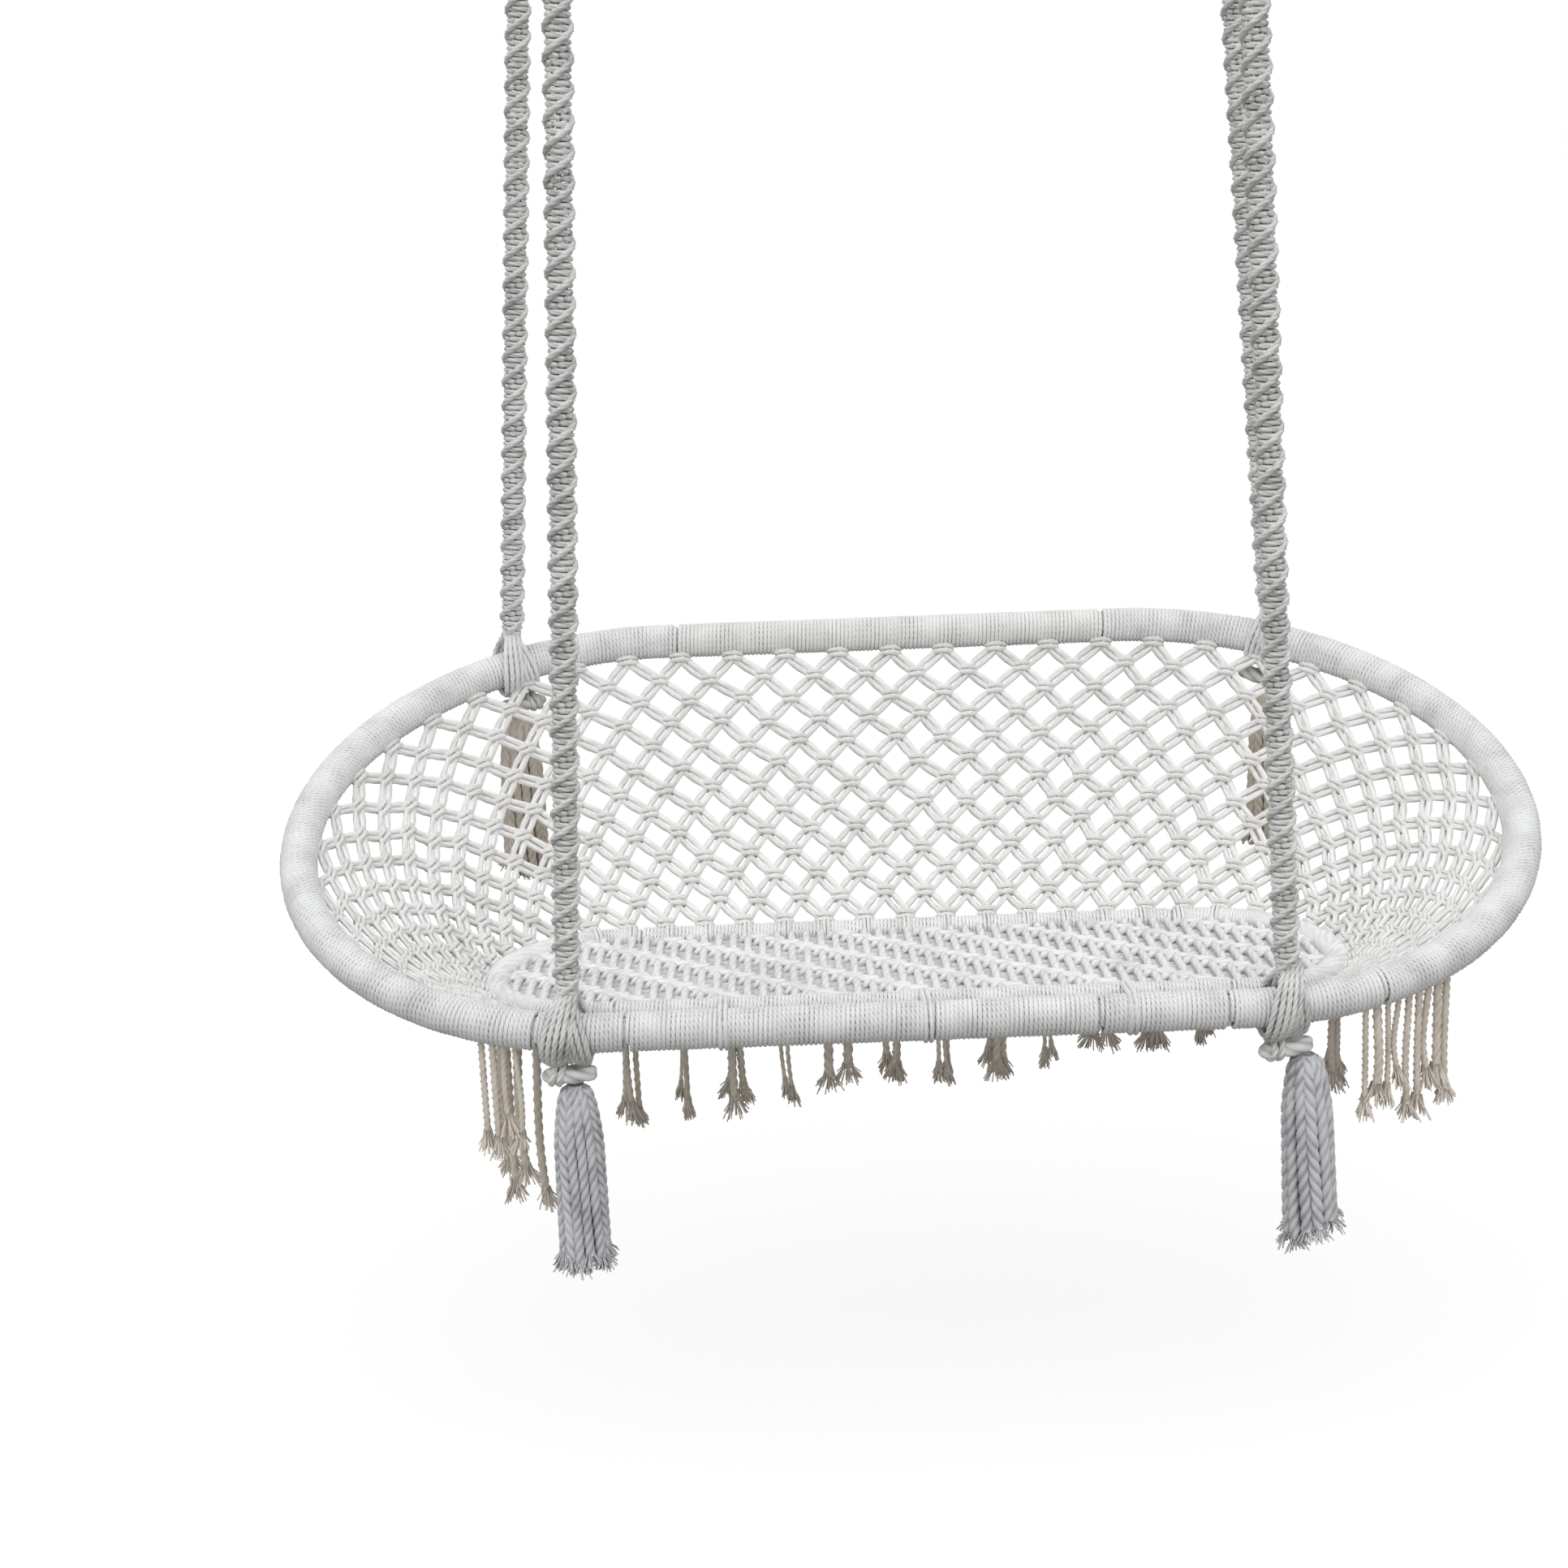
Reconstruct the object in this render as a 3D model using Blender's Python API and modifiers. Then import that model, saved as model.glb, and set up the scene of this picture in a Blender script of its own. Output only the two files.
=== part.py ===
"""Hanging rope hammock bench: an oval steel rim and a smaller seat hoop, both wrapped in cotton rope,
a knotted diamond net between them, a woven seat, and four spiral-knotted ropes that end in steel rings.

Metres, +Z up. The origin is midway between the four hanging rings; +Y points to the back of the seat.
"""
import math

import bmesh
import bpy
from mathutils import Matrix, Vector

for old_object in list(bpy.data.objects):
    bpy.data.objects.remove(old_object, do_unlink=True)

# Rim hoop, measured over its rope wrap
RIM_WIDTH = 2.0
RIM_DEPTH = 1.0
RIM_FRONT_STRAIGHT = 0.94
RIM_BACK_STRAIGHT = 0.79
RIM_TILT = math.radians(26)
RIM_DROP = 1.42
RIM_TUBE_DIAMETER = 0.042
RIM_WRAP_ROPE = 0.009

# Seat hoop and its woven rope panel
SEAT_WIDTH = 1.32
SEAT_FRONT_STRAIGHT = 0.98
SEAT_BACK_STRAIGHT = 0.94
SEAT_DEPTH = 0.45
SEAT_BACK_DROP = 0.03
SEAT_TUBE_DIAMETER = 0.028
SEAT_WRAP_ROPE = 0.008
SEAT_WEAVE_THICKNESS = 0.018

# Hanging ropes: half spans at the rim, and how far the tops lean in
FRONT_HALF_SPAN = 0.526
BACK_HALF_SPAN = 0.654
FRONT_LEAN = 0.073
BACK_LEAN = 0.082
SINNET_WIDTH = 0.05
SINNET_THICKNESS = 0.034
SINNET_PITCH = 0.08
SINNET_STEPS_PER_TURN = 6
SINNET_END_TAPER = 0.03
SINNET_END_WIDTH = 0.008
CORE_DIAMETER = 0.014
CORE_END = 0.05
EYE_ROPE = 0.016
RING_WIRE = 0.008
RING_DIAMETER = 0.056

# Hitches round the rim, the knots under them and the tassels
HITCH_ROPE = 0.019
HITCH_LOOPS = 3
HITCH_POINTS_PER_LOOP = 18
HITCH_LOOP_SPACE = 0.002
FRONT_FOOT_BED = 0.0007
BACK_FOOT_BED = 0.0033
KNOT_BED = 0.0007
LASHING_ROPE = 0.012
LASHING_SPAN = 0.6
LASHING_POINTS = 8
KNOT_LENGTH = 0.085
TASSEL_ASIDE = 0.026
TASSEL_ASIDE_BED = 0.0012
KNOT_DIAMETER = 0.034
TASSEL_LENGTH = 0.3
TASSEL_HEAD = 0.04
TASSEL_WIDTH = 0.085
TASSEL_TOP = 0.01
TASSEL_HEAD_SHARE = 0.13
TASSEL_FLARE_RATE = 1.6
TASSEL_GROOVE = 0.18
TASSEL_LOBES = 7
TASSEL_RINGS = 7

# Net between the rim and the seat hoop
NET_CORD = 0.013
NET_HALF_ROWS = 8
NET_SIDE_TRIM = 0.012
NET_FRONT_TURN = 0.65
NET_SIDE_TURN = 0.1
NET_SIDE_CELLS = 4
NET_CORNER_CELLS = 4
NET_BACK_CELLS = 5

# Fringe of cut cord ends under the seat hoop
FRINGE_HEADER = 0.012
FRINGE_BACK_LENGTH = 0.9
FRINGE_BACK_STRANDS = 13
FRINGE_END_SPAN = 0.06
FRINGE_END_STRANDS = 3
FRINGE_BACK_LONG = 0.30
FRINGE_BACK_SHORT = 0.19
FRINGE_LEFT_END = 0.33
FRINGE_RIGHT_END = 0.21
FRINGE_STEP = 0.03
FRINGE_UNEVENNESS = 5.1

# Clearances and facets
SEAT_GAP = 0.0004
BORE_GAP = 0.0002
NET_GAP = 0.0006
TURN_GAP = 0.0009
SWING_GAP = 0.0007
TUBE_SIDES_RESOLUTION = 2
COIL_SIDES_RESOLUTION = 1
END_STEPS = 16
RING_STEPS = 24
EYE_STEPS = 16
CORE_SIDES = 8
KNOT_STEPS = 10
WRAP_JOINT_SHARE = 0.94
STRAIGHT_TURN = 0.55
SMALL_TURN = 0.001
EDGE_SHARE = 0.001
quarter = math.pi / 2
end_turn = quarter - STRAIGHT_TURN
LEFT = -1
RIGHT = 1
FRONT = -1
BACK = 1

rim_wrap_radius = RIM_TUBE_DIAMETER / 2 + RIM_WRAP_ROPE
seat_wrap_radius = SEAT_TUBE_DIAMETER / 2 + SEAT_WRAP_ROPE
rim_half_depth = RIM_DEPTH / 2 - rim_wrap_radius
hitch_radius = rim_wrap_radius + HITCH_ROPE / 2 + TURN_GAP
hitch_reach = hitch_radius + HITCH_ROPE / 2
ring_radius = RING_DIAMETER / 2
eye_radius = EYE_ROPE / 2 + RING_WIRE / 2 + SWING_GAP

hammock = bpy.data.collections.new("rope_hammock")
bpy.context.scene.collection.children.link(hammock)
cutters = bpy.data.collections.new("cutters")
bpy.context.scene.collection.children.link(cutters)


def material(name, colour, roughness, metallic=0.0):
    made = bpy.data.materials.new(name)
    made.use_nodes = True
    shader = made.node_tree.nodes["Principled BSDF"]
    shader.inputs["Base Color"].default_value = (*colour, 1.0)
    shader.inputs["Roughness"].default_value = roughness
    shader.inputs["Metallic"].default_value = metallic
    return made


WHITE_ROPE = (0.78, 0.78, 0.76)
CREAM_ROPE = (0.76, 0.72, 0.65)
GREY_ROPE = (0.62, 0.61, 0.58)
TAN_ROPE = (0.55, 0.47, 0.37)
PAINTED_STEEL = (0.75, 0.75, 0.74)
ZINC_STEEL = (0.60, 0.60, 0.61)


def rope_material(name, colour):
    return material(name + "_cotton", colour, 0.9)


def add_object(name, data, made_material, parent=None):
    made = bpy.data.objects.new(name, data)
    hammock.objects.link(made)
    data.materials.append(made_material)
    if parent:
        made.parent = parent
    return made


def add_empty(name, place):
    made = bpy.data.objects.new(name, None)
    made.location = place
    hammock.objects.link(made)
    return made


def mesh_from(name, shape):
    mesh = bpy.data.meshes.new(name)
    bmesh.ops.recalc_face_normals(shape, faces=shape.faces)
    shape.to_mesh(mesh)
    shape.free()
    mesh.shade_smooth()
    mesh.set_sharp_from_angle(angle=math.radians(50))
    return mesh


def hoop_point(turn, half_width, half_depth, front_straight, back_straight):
    """Oval with a straight front and back. Turn 0 is the right end, a quarter turn the middle of the back."""
    turn = (turn + quarter) % (4 * quarter) - quarter
    bend = quarter / (quarter - STRAIGHT_TURN)
    if turn < STRAIGHT_TURN - quarter:
        return (turn + quarter) / STRAIGHT_TURN * front_straight / 2, -half_depth
    if turn > 3 * quarter - STRAIGHT_TURN:
        return (turn - 3 * quarter) / STRAIGHT_TURN * front_straight / 2, -half_depth
    if abs(turn - quarter) < STRAIGHT_TURN:
        return (quarter - turn) / STRAIGHT_TURN * back_straight / 2, half_depth
    side = RIGHT if turn < quarter else LEFT
    angle = bend * turn if side == RIGHT else bend * (2 * quarter - turn)
    straight = (front_straight + back_straight) / 2 + (back_straight - front_straight) / 2 * math.sin(angle)
    end = half_width - (front_straight + back_straight) / 4
    return side * (straight / 2 + end * math.cos(angle)), half_depth * math.sin(angle)


def on_facets(turn, smooth_place):
    """A place on a hoop's bent ends, read along the same short facets that its tube is made of."""
    turn = (turn + quarter) % (4 * quarter) - quarter
    middle = 0.0 if turn < quarter else 2 * quarter
    facet = 2 * end_turn / END_STEPS
    facets = (turn - middle + end_turn) / facet
    if facets <= 0 or facets >= END_STEPS:
        return smooth_place(turn)
    start = middle - end_turn + math.floor(facets) * facet
    return smooth_place(start).lerp(smooth_place(start + facet), facets - math.floor(facets))


def smooth_rim(turn):
    x, depth = hoop_point(turn, RIM_WIDTH / 2 - rim_wrap_radius, rim_half_depth,
                          RIM_FRONT_STRAIGHT, RIM_BACK_STRAIGHT)
    return Vector((x, depth * math.cos(RIM_TILT), depth * math.sin(RIM_TILT) - RIM_DROP))


def rim_point(turn):
    return on_facets(turn, smooth_rim)


# The seat hoop lies behind the rim's front bar, with room for the ropes' hitches between the two
rim_front = rim_point(-quarter)
seat_front_y = rim_front.y + hitch_reach + seat_wrap_radius + SEAT_GAP
seat_slope = math.asin(SEAT_BACK_DROP / SEAT_DEPTH)
seat_centre_y = seat_front_y + SEAT_DEPTH / 2 * math.cos(seat_slope)
seat_centre = Vector((0, seat_centre_y, rim_front.z - SEAT_BACK_DROP / 2))


def seat_plane_point(turn):
    return hoop_point(turn, SEAT_WIDTH / 2, SEAT_DEPTH / 2, SEAT_FRONT_STRAIGHT, SEAT_BACK_STRAIGHT)


def smooth_seat(turn):
    x, depth = seat_plane_point(turn)
    return seat_centre + Vector((x, depth * math.cos(seat_slope), -depth * math.sin(seat_slope)))


def seat_point(turn):
    return on_facets(turn, smooth_seat)


def even_turns(start, end, steps):
    return [start + (end - start) * i / steps for i in range(steps + 1)]


def tube(name, points, diameter, made_material, closed=False, resolution=TUBE_SIDES_RESOLUTION):
    curve = bpy.data.curves.new(name, "CURVE")
    curve.dimensions = "3D"
    curve.bevel_depth = diameter / 2
    curve.bevel_resolution = resolution
    curve.use_fill_caps = not closed
    spline = curve.splines.new("POLY")
    spline.points.add(len(points) - 1)
    for spline_point, place in zip(spline.points, points):
        spline_point.co = (*place, 1)
    spline.use_cyclic_u = closed
    return add_object(name, curve, made_material)


def sleeve(name, points, bore, wall, made_material):
    """A rope wrap: a tube along the hoop, open at both ends, with the hoop's own tube in its bore."""
    made = tube(name, points, bore, made_material)
    made.data.use_fill_caps = False
    thickness = made.modifiers.new("rope_thickness", "SOLIDIFY")
    thickness.thickness = wall
    thickness.offset = 1
    thickness.use_even_offset = False
    return made


def trimmed(points, gap):
    """The same route with both ends drawn back, so that neighbours meet with a fine gap."""
    first = points[0] + (points[1] - points[0]).normalized() * gap / 2
    last = points[-1] + (points[-2] - points[-1]).normalized() * gap / 2
    return [first] + points[1:-1] + [last]


# Hoops of steel tube, and the rope wound round them in four lengths each
tube_sides = 4 + 2 * TUBE_SIDES_RESOLUTION
facet_room = math.cos(math.pi / tube_sides)
rim_bore = (RIM_TUBE_DIAMETER + 2 * BORE_GAP) / facet_room
seat_bore = (SEAT_TUBE_DIAMETER + 2 * BORE_GAP) / facet_room
right_end = even_turns(-end_turn, end_turn, END_STEPS)
left_end = even_turns(2 * quarter - end_turn, 2 * quarter + end_turn, END_STEPS)
full_turn = right_end + left_end
tube("rim_tube", [rim_point(turn) for turn in full_turn], RIM_TUBE_DIAMETER,
     material("rim_tube_steel", PAINTED_STEEL, 0.5), closed=True)
tube("seat_tube", [seat_point(turn) for turn in full_turn], SEAT_TUBE_DIAMETER,
     material("seat_tube_steel", PAINTED_STEEL, 0.5), closed=True)

joint_turn = STRAIGHT_TURN * WRAP_JOINT_SHARE
spans = {
    "front": [-quarter - joint_turn, -quarter + joint_turn],
    "right": [-quarter + joint_turn] + right_end + [quarter - joint_turn],
    "back": [quarter - joint_turn, quarter + joint_turn],
    "left": [quarter + joint_turn] + left_end + [3 * quarter - joint_turn],
}
for place, turns in spans.items():
    colour = CREAM_ROPE if place == "back" else WHITE_ROPE
    sleeve("rim_wrap_" + place, trimmed([rim_point(turn) for turn in turns], SEAT_GAP), rim_bore,
           rim_wrap_radius - rim_bore / 2, rope_material("rim_wrap_" + place, colour))
    sleeve("seat_wrap_" + place, trimmed([seat_point(turn) for turn in turns], SEAT_GAP), seat_bore,
           seat_wrap_radius - seat_bore / 2, rope_material("seat_wrap_" + place, WHITE_ROPE))

# Woven seat: a flat panel of rope that fills the seat hoop
weave_inset = seat_wrap_radius + SEAT_GAP
outline = []
for turn in full_turn:
    x, depth = seat_plane_point(turn)
    x_last, depth_last = seat_plane_point(turn - SMALL_TURN)
    x_next, depth_next = seat_plane_point(turn + SMALL_TURN)
    tangent = Vector((x_next - x_last, depth_next - depth_last)).normalized()
    outline.append((x - tangent.y * weave_inset, depth + tangent.x * weave_inset))
weave_shape = bmesh.new()
weave_face = weave_shape.faces.new([weave_shape.verts.new((x, depth, -SEAT_WEAVE_THICKNESS / 2))
                                    for x, depth in outline])
raised = bmesh.ops.extrude_face_region(weave_shape, geom=[weave_face])["geom"]
bmesh.ops.translate(weave_shape, verts=[part for part in raised if isinstance(part, bmesh.types.BMVert)],
                    vec=(0, 0, SEAT_WEAVE_THICKNESS))
seat_weave = add_object("seat_weave", mesh_from("seat_weave", weave_shape),
                        rope_material("seat_weave", WHITE_ROPE))
seat_weave.location = seat_centre
seat_weave.rotation_euler = (-seat_slope, 0, 0)

# Notches where the lashings pass between the weave and the seat hoop's front bar
lashing_places = {"left": LEFT * LASHING_SPAN / 2, "middle": 0.0, "right": RIGHT * LASHING_SPAN / 2}
notch_shape = bmesh.new()
notch_depth = 2 * (seat_wrap_radius + LASHING_ROPE + 2 * TURN_GAP)
for x in lashing_places.values():
    box = bmesh.ops.create_cube(notch_shape, size=1)["verts"]
    bmesh.ops.scale(notch_shape, verts=box, vec=(LASHING_ROPE + 2 * TURN_GAP, notch_depth, notch_depth))
    bmesh.ops.translate(notch_shape, verts=box, vec=(x, -SEAT_DEPTH / 2, 0))
notches = bpy.data.objects.new("lashing_notches", mesh_from("lashing_notches", notch_shape))
cutters.objects.link(notches)
notches.location = seat_weave.location
notches.rotation_euler = seat_weave.rotation_euler
notches.hide_render = True
notches.display_type = "WIRE"
notch_cut = seat_weave.modifiers.new("lashing_notches", "BOOLEAN")
notch_cut.operation = "DIFFERENCE"
notch_cut.object = notches


# Net of knotted cord: a grid whose squares are poked and joined into diamonds, laid between the hoops
def net_place(turn, share):
    rim_place, seat_place = rim_point(turn), seat_point(turn)
    way = (seat_place - rim_place).normalized()
    rim_along = (rim_point(turn + SMALL_TURN) - rim_point(turn - SMALL_TURN)).normalized()
    seat_along = (seat_point(turn + SMALL_TURN) - seat_point(turn - SMALL_TURN)).normalized()
    top = rim_place + way * (rim_wrap_radius + NET_CORD / 2 + NET_GAP) / rim_along.cross(way).length
    foot = seat_place - way * (seat_wrap_radius + NET_CORD / 2 + NET_GAP) / seat_along.cross(way).length
    return top.lerp(foot, share)


def net_edge_shift(turn, share):
    """Half a cord and a fine gap, square to a panel's side edge, so that neighbours lie side by side."""
    down = (net_place(turn, 1) - net_place(turn, 0)).normalized()
    along = net_place(turn + SMALL_TURN, share) - net_place(turn - SMALL_TURN, share)
    along -= down * along.dot(down)
    return along.normalized() * (NET_CORD + SEAT_GAP) / 2


def net_panel(name, start, end, cells):
    rows = NET_HALF_ROWS // 2
    shape = bmesh.new()
    bmesh.ops.create_grid(shape, x_segments=cells, y_segments=rows, size=1)
    squares = [edge for edge in shape.edges if not edge.is_boundary]
    hems = [edge for edge in shape.edges if edge.is_boundary
            and abs(edge.verts[0].co.y - edge.verts[1].co.y) < EDGE_SHARE]
    bmesh.ops.poke(shape, faces=shape.faces)
    hem_faces = [edge.link_faces[0] for edge in hems]
    bmesh.ops.dissolve_edges(shape, edges=squares)
    bmesh.ops.delete(shape, geom=[face for face in hem_faces if face.is_valid], context="FACES")
    for vert in shape.verts:
        across = (vert.co.x + 1) / 2
        share = (1 - vert.co.y) / 2
        turn = start + (end - start) * across
        on_first, on_last = across < EDGE_SHARE, across > 1 - EDGE_SHARE
        if on_first or on_last:
            share = min(max(share, NET_SIDE_TRIM), 1 - NET_SIDE_TRIM)
        vert.co = net_place(turn, share)
        if on_first:
            vert.co += net_edge_shift(turn, share)
        if on_last:
            vert.co -= net_edge_shift(turn, share)
    made = add_object(name, mesh_from(name, shape), rope_material(name, CREAM_ROPE))
    cords = made.modifiers.new("cords", "WIREFRAME")
    cords.thickness = NET_CORD
    cords.use_boundary = True
    cords.use_even_offset = False
    return made


def rim_turn_at(half_span, row):
    """Where the rim's right end passes a given distance from the middle, at the front or the back."""
    low, high = 0.0, row * end_turn
    for _ in range(50):
        middle = (low + high) / 2
        if rim_point(middle).x > half_span:
            low = middle
        else:
            high = middle
    return low


# The ropes' hitches at the back sit in the middle of a net cell, between two of its ties
front_hitch_turn = rim_turn_at(FRONT_HALF_SPAN, FRONT)
back_hitch_turn = rim_turn_at(BACK_HALF_SPAN, BACK)
cell_turn = (back_hitch_turn - NET_SIDE_TURN) / (NET_CORNER_CELLS - 0.5)
corner_turn = NET_SIDE_TURN + cell_turn * NET_CORNER_CELLS
half_turn = 2 * quarter
net_panel("net_side_right", -NET_FRONT_TURN, NET_SIDE_TURN, NET_SIDE_CELLS)
net_panel("net_corner_right", NET_SIDE_TURN, corner_turn, NET_CORNER_CELLS)
net_panel("net_back_right", corner_turn, quarter, NET_BACK_CELLS)
net_panel("net_back_left", quarter, half_turn - corner_turn, NET_BACK_CELLS)
net_panel("net_corner_left", half_turn - corner_turn, half_turn - NET_SIDE_TURN, NET_CORNER_CELLS)
net_panel("net_side_left", half_turn - NET_SIDE_TURN, half_turn + NET_FRONT_TURN, NET_SIDE_CELLS)


# Rope hitch: a few turns of rope round the wrapped rim, followed along the rim's own curve
def rim_frame(turn):
    ahead = (rim_point(turn + SMALL_TURN) - rim_point(turn - SMALL_TURN)).normalized()
    upward = (Vector((0, 0, 1)) - ahead * ahead.z).normalized()
    return ahead, upward, ahead.cross(upward)


def hitch(name, turn, side):
    ahead, upward, outward = rim_frame(turn)
    rate = (rim_point(turn + SMALL_TURN) - rim_point(turn - SMALL_TURN)).length / (2 * SMALL_TURN)
    step = HITCH_ROPE + HITCH_LOOP_SPACE
    points = []
    total = HITCH_LOOPS * HITCH_POINTS_PER_LOOP
    for i in range(total + 1):
        loops = i / HITCH_POINTS_PER_LOOP
        swing = 2 * math.pi * (loops - HITCH_LOOPS / 2)
        ring = upward * math.cos(swing) + outward * math.sin(swing)
        along = -side * (loops - HITCH_LOOPS / 2) * step
        points.append(rim_point(turn + along / rate) + ring * hitch_radius)
    made = tube(name, points, HITCH_ROPE, rope_material(name, WHITE_ROPE), resolution=COIL_SIDES_RESOLUTION)
    apart = HITCH_POINTS_PER_LOOP // 2
    least = min((points[i] - points[j]).length for i in range(total + 1) for j in range(i + apart, total + 1))
    print(name, "least gap to itself, mm:", round((least - HITCH_ROPE) * 1000, 2))
    return made


# Lashing: a rope band that ties the seat hoop's front bar to the rim's front bar
def lashing(name, x):
    seat_front = seat_point(-quarter)
    reach = LASHING_ROPE / 2 + TURN_GAP
    points = []
    for centre, radius, start in ((rim_front, rim_wrap_radius + reach, quarter),
                                  (seat_front, seat_wrap_radius + reach, -quarter)):
        for i in range(LASHING_POINTS + 1):
            swing = start + 2 * quarter * i / LASHING_POINTS
            points.append(centre + Vector((x, radius * math.cos(swing), radius * math.sin(swing))))
    return tube(name, points, LASHING_ROPE, rope_material(name, WHITE_ROPE), closed=True,
                resolution=COIL_SIDES_RESOLUTION)


for lashing_name, lashing_x in lashing_places.items():
    lashing("front_lashing_" + lashing_name, lashing_x)


# Spiral sinnet: a flat bundle of half knots that turns steadily as it climbs
def sinnet(name, length, parent):
    steps = max(8, round(length / SINNET_PITCH * SINNET_STEPS_PER_TURN))
    shape = bmesh.new()
    bmesh.ops.create_cone(shape, cap_ends=True, segments=4, radius1=1, radius2=1, depth=length)
    uprights = [edge for edge in shape.edges if abs(edge.verts[0].co.z - edge.verts[1].co.z) > length / 2]
    bmesh.ops.subdivide_edges(shape, edges=uprights, cuts=steps - 1, use_grid_fill=True)
    for vert in shape.verts:
        height = vert.co.z + length / 2
        fullness = min(1.0, SINNET_END_WIDTH / SINNET_WIDTH + height / SINNET_END_TAPER)
        vert.co.x *= SINNET_WIDTH / 2 * fullness
        vert.co.y *= SINNET_THICKNESS / 2 * fullness
        vert.co.z = height
        vert.co.rotate(Matrix.Rotation(2 * math.pi * height / SINNET_PITCH, 3, "Z"))
    return add_object(name, mesh_from(name, shape), rope_material(name, GREY_ROPE), parent)


def cylinder(name, diameter, low, high, segments):
    shape = bmesh.new()
    bmesh.ops.create_cone(shape, cap_ends=True, segments=segments, radius1=diameter / 2,
                          radius2=diameter / 2, depth=high - low)
    bmesh.ops.translate(shape, verts=shape.verts, vec=(0, 0, (low + high) / 2))
    return mesh_from(name, shape)


def torus(name, major, wire, rings, made_material, place, turn, parent=None):
    bpy.ops.mesh.primitive_torus_add(major_segments=rings, minor_segments=8, major_radius=major,
                                     minor_radius=wire / 2)
    made = bpy.context.object
    made.name = name
    made.data.name = name
    for collection in list(made.users_collection):
        collection.objects.unlink(made)
    hammock.objects.link(made)
    made.data.materials.append(made_material)
    made.data.shade_smooth()
    made.parent = parent
    made.location = place
    made.rotation_euler = turn
    return made


# Tassel: the rope's own ends, gathered under the knot and flaring to a cut edge
def tassel(name, place):
    shape = bmesh.new()
    bmesh.ops.create_cone(shape, cap_ends=True, segments=2 * TASSEL_LOBES, radius1=1, radius2=1,
                          depth=TASSEL_LENGTH)
    uprights = [edge for edge in shape.edges
                if abs(edge.verts[0].co.z - edge.verts[1].co.z) > TASSEL_LENGTH / 2]
    bmesh.ops.subdivide_edges(shape, edges=uprights, cuts=TASSEL_RINGS, use_grid_fill=True)
    head = TASSEL_HEAD / 2
    for vert in shape.verts:
        share = 0.5 - vert.co.z / TASSEL_LENGTH
        on_head = share < TASSEL_HEAD_SHARE
        depth = head * (1 - math.cos(math.pi * share)) if on_head else TASSEL_LENGTH * share
        rise = max(0.0, 1 - (1 - min(depth, head) / head) ** 2) ** 0.5
        round_head = max(TASSEL_TOP / 2, head * rise)
        flare = round_head + (TASSEL_WIDTH / 2 - head) * min(1.0, depth / TASSEL_LENGTH * TASSEL_FLARE_RATE)
        lobe = round(math.atan2(vert.co.y, vert.co.x) / math.pi * TASSEL_LOBES) % 2
        radius = flare * (1.0 if lobe else 1 - TASSEL_GROOVE * min(1.0, 2 * depth / TASSEL_LENGTH))
        reach = math.hypot(vert.co.x, vert.co.y)
        vert.co = (vert.co.x / reach * radius, vert.co.y / reach * radius, head - depth)
    made = add_object(name, mesh_from(name, shape), rope_material(name, GREY_ROPE))
    made.location = place
    return made


def knot(name, place, ahead):
    shape = bmesh.new()
    bmesh.ops.create_uvsphere(shape, u_segments=KNOT_STEPS, v_segments=KNOT_STEPS, radius=KNOT_DIAMETER / 2)
    bmesh.ops.scale(shape, verts=shape.verts, vec=(KNOT_LENGTH / KNOT_DIAMETER, 1, 1))
    made = add_object(name, mesh_from(name, shape), rope_material(name, GREY_ROPE))
    made.location = place
    made.rotation_euler = ahead.to_track_quat("X", "Z").to_euler()
    return made


# The place under a knot's outer end, where a tassel's round top just clears it
def knot_side(place):
    near = (TASSEL_ASIDE - TASSEL_TOP / 2) / (KNOT_LENGTH / 2)
    low = KNOT_DIAMETER / 2 * (1 - near ** 2) ** 0.5 - TASSEL_ASIDE_BED
    return place + Vector((TASSEL_ASIDE, 0, -low))


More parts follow.
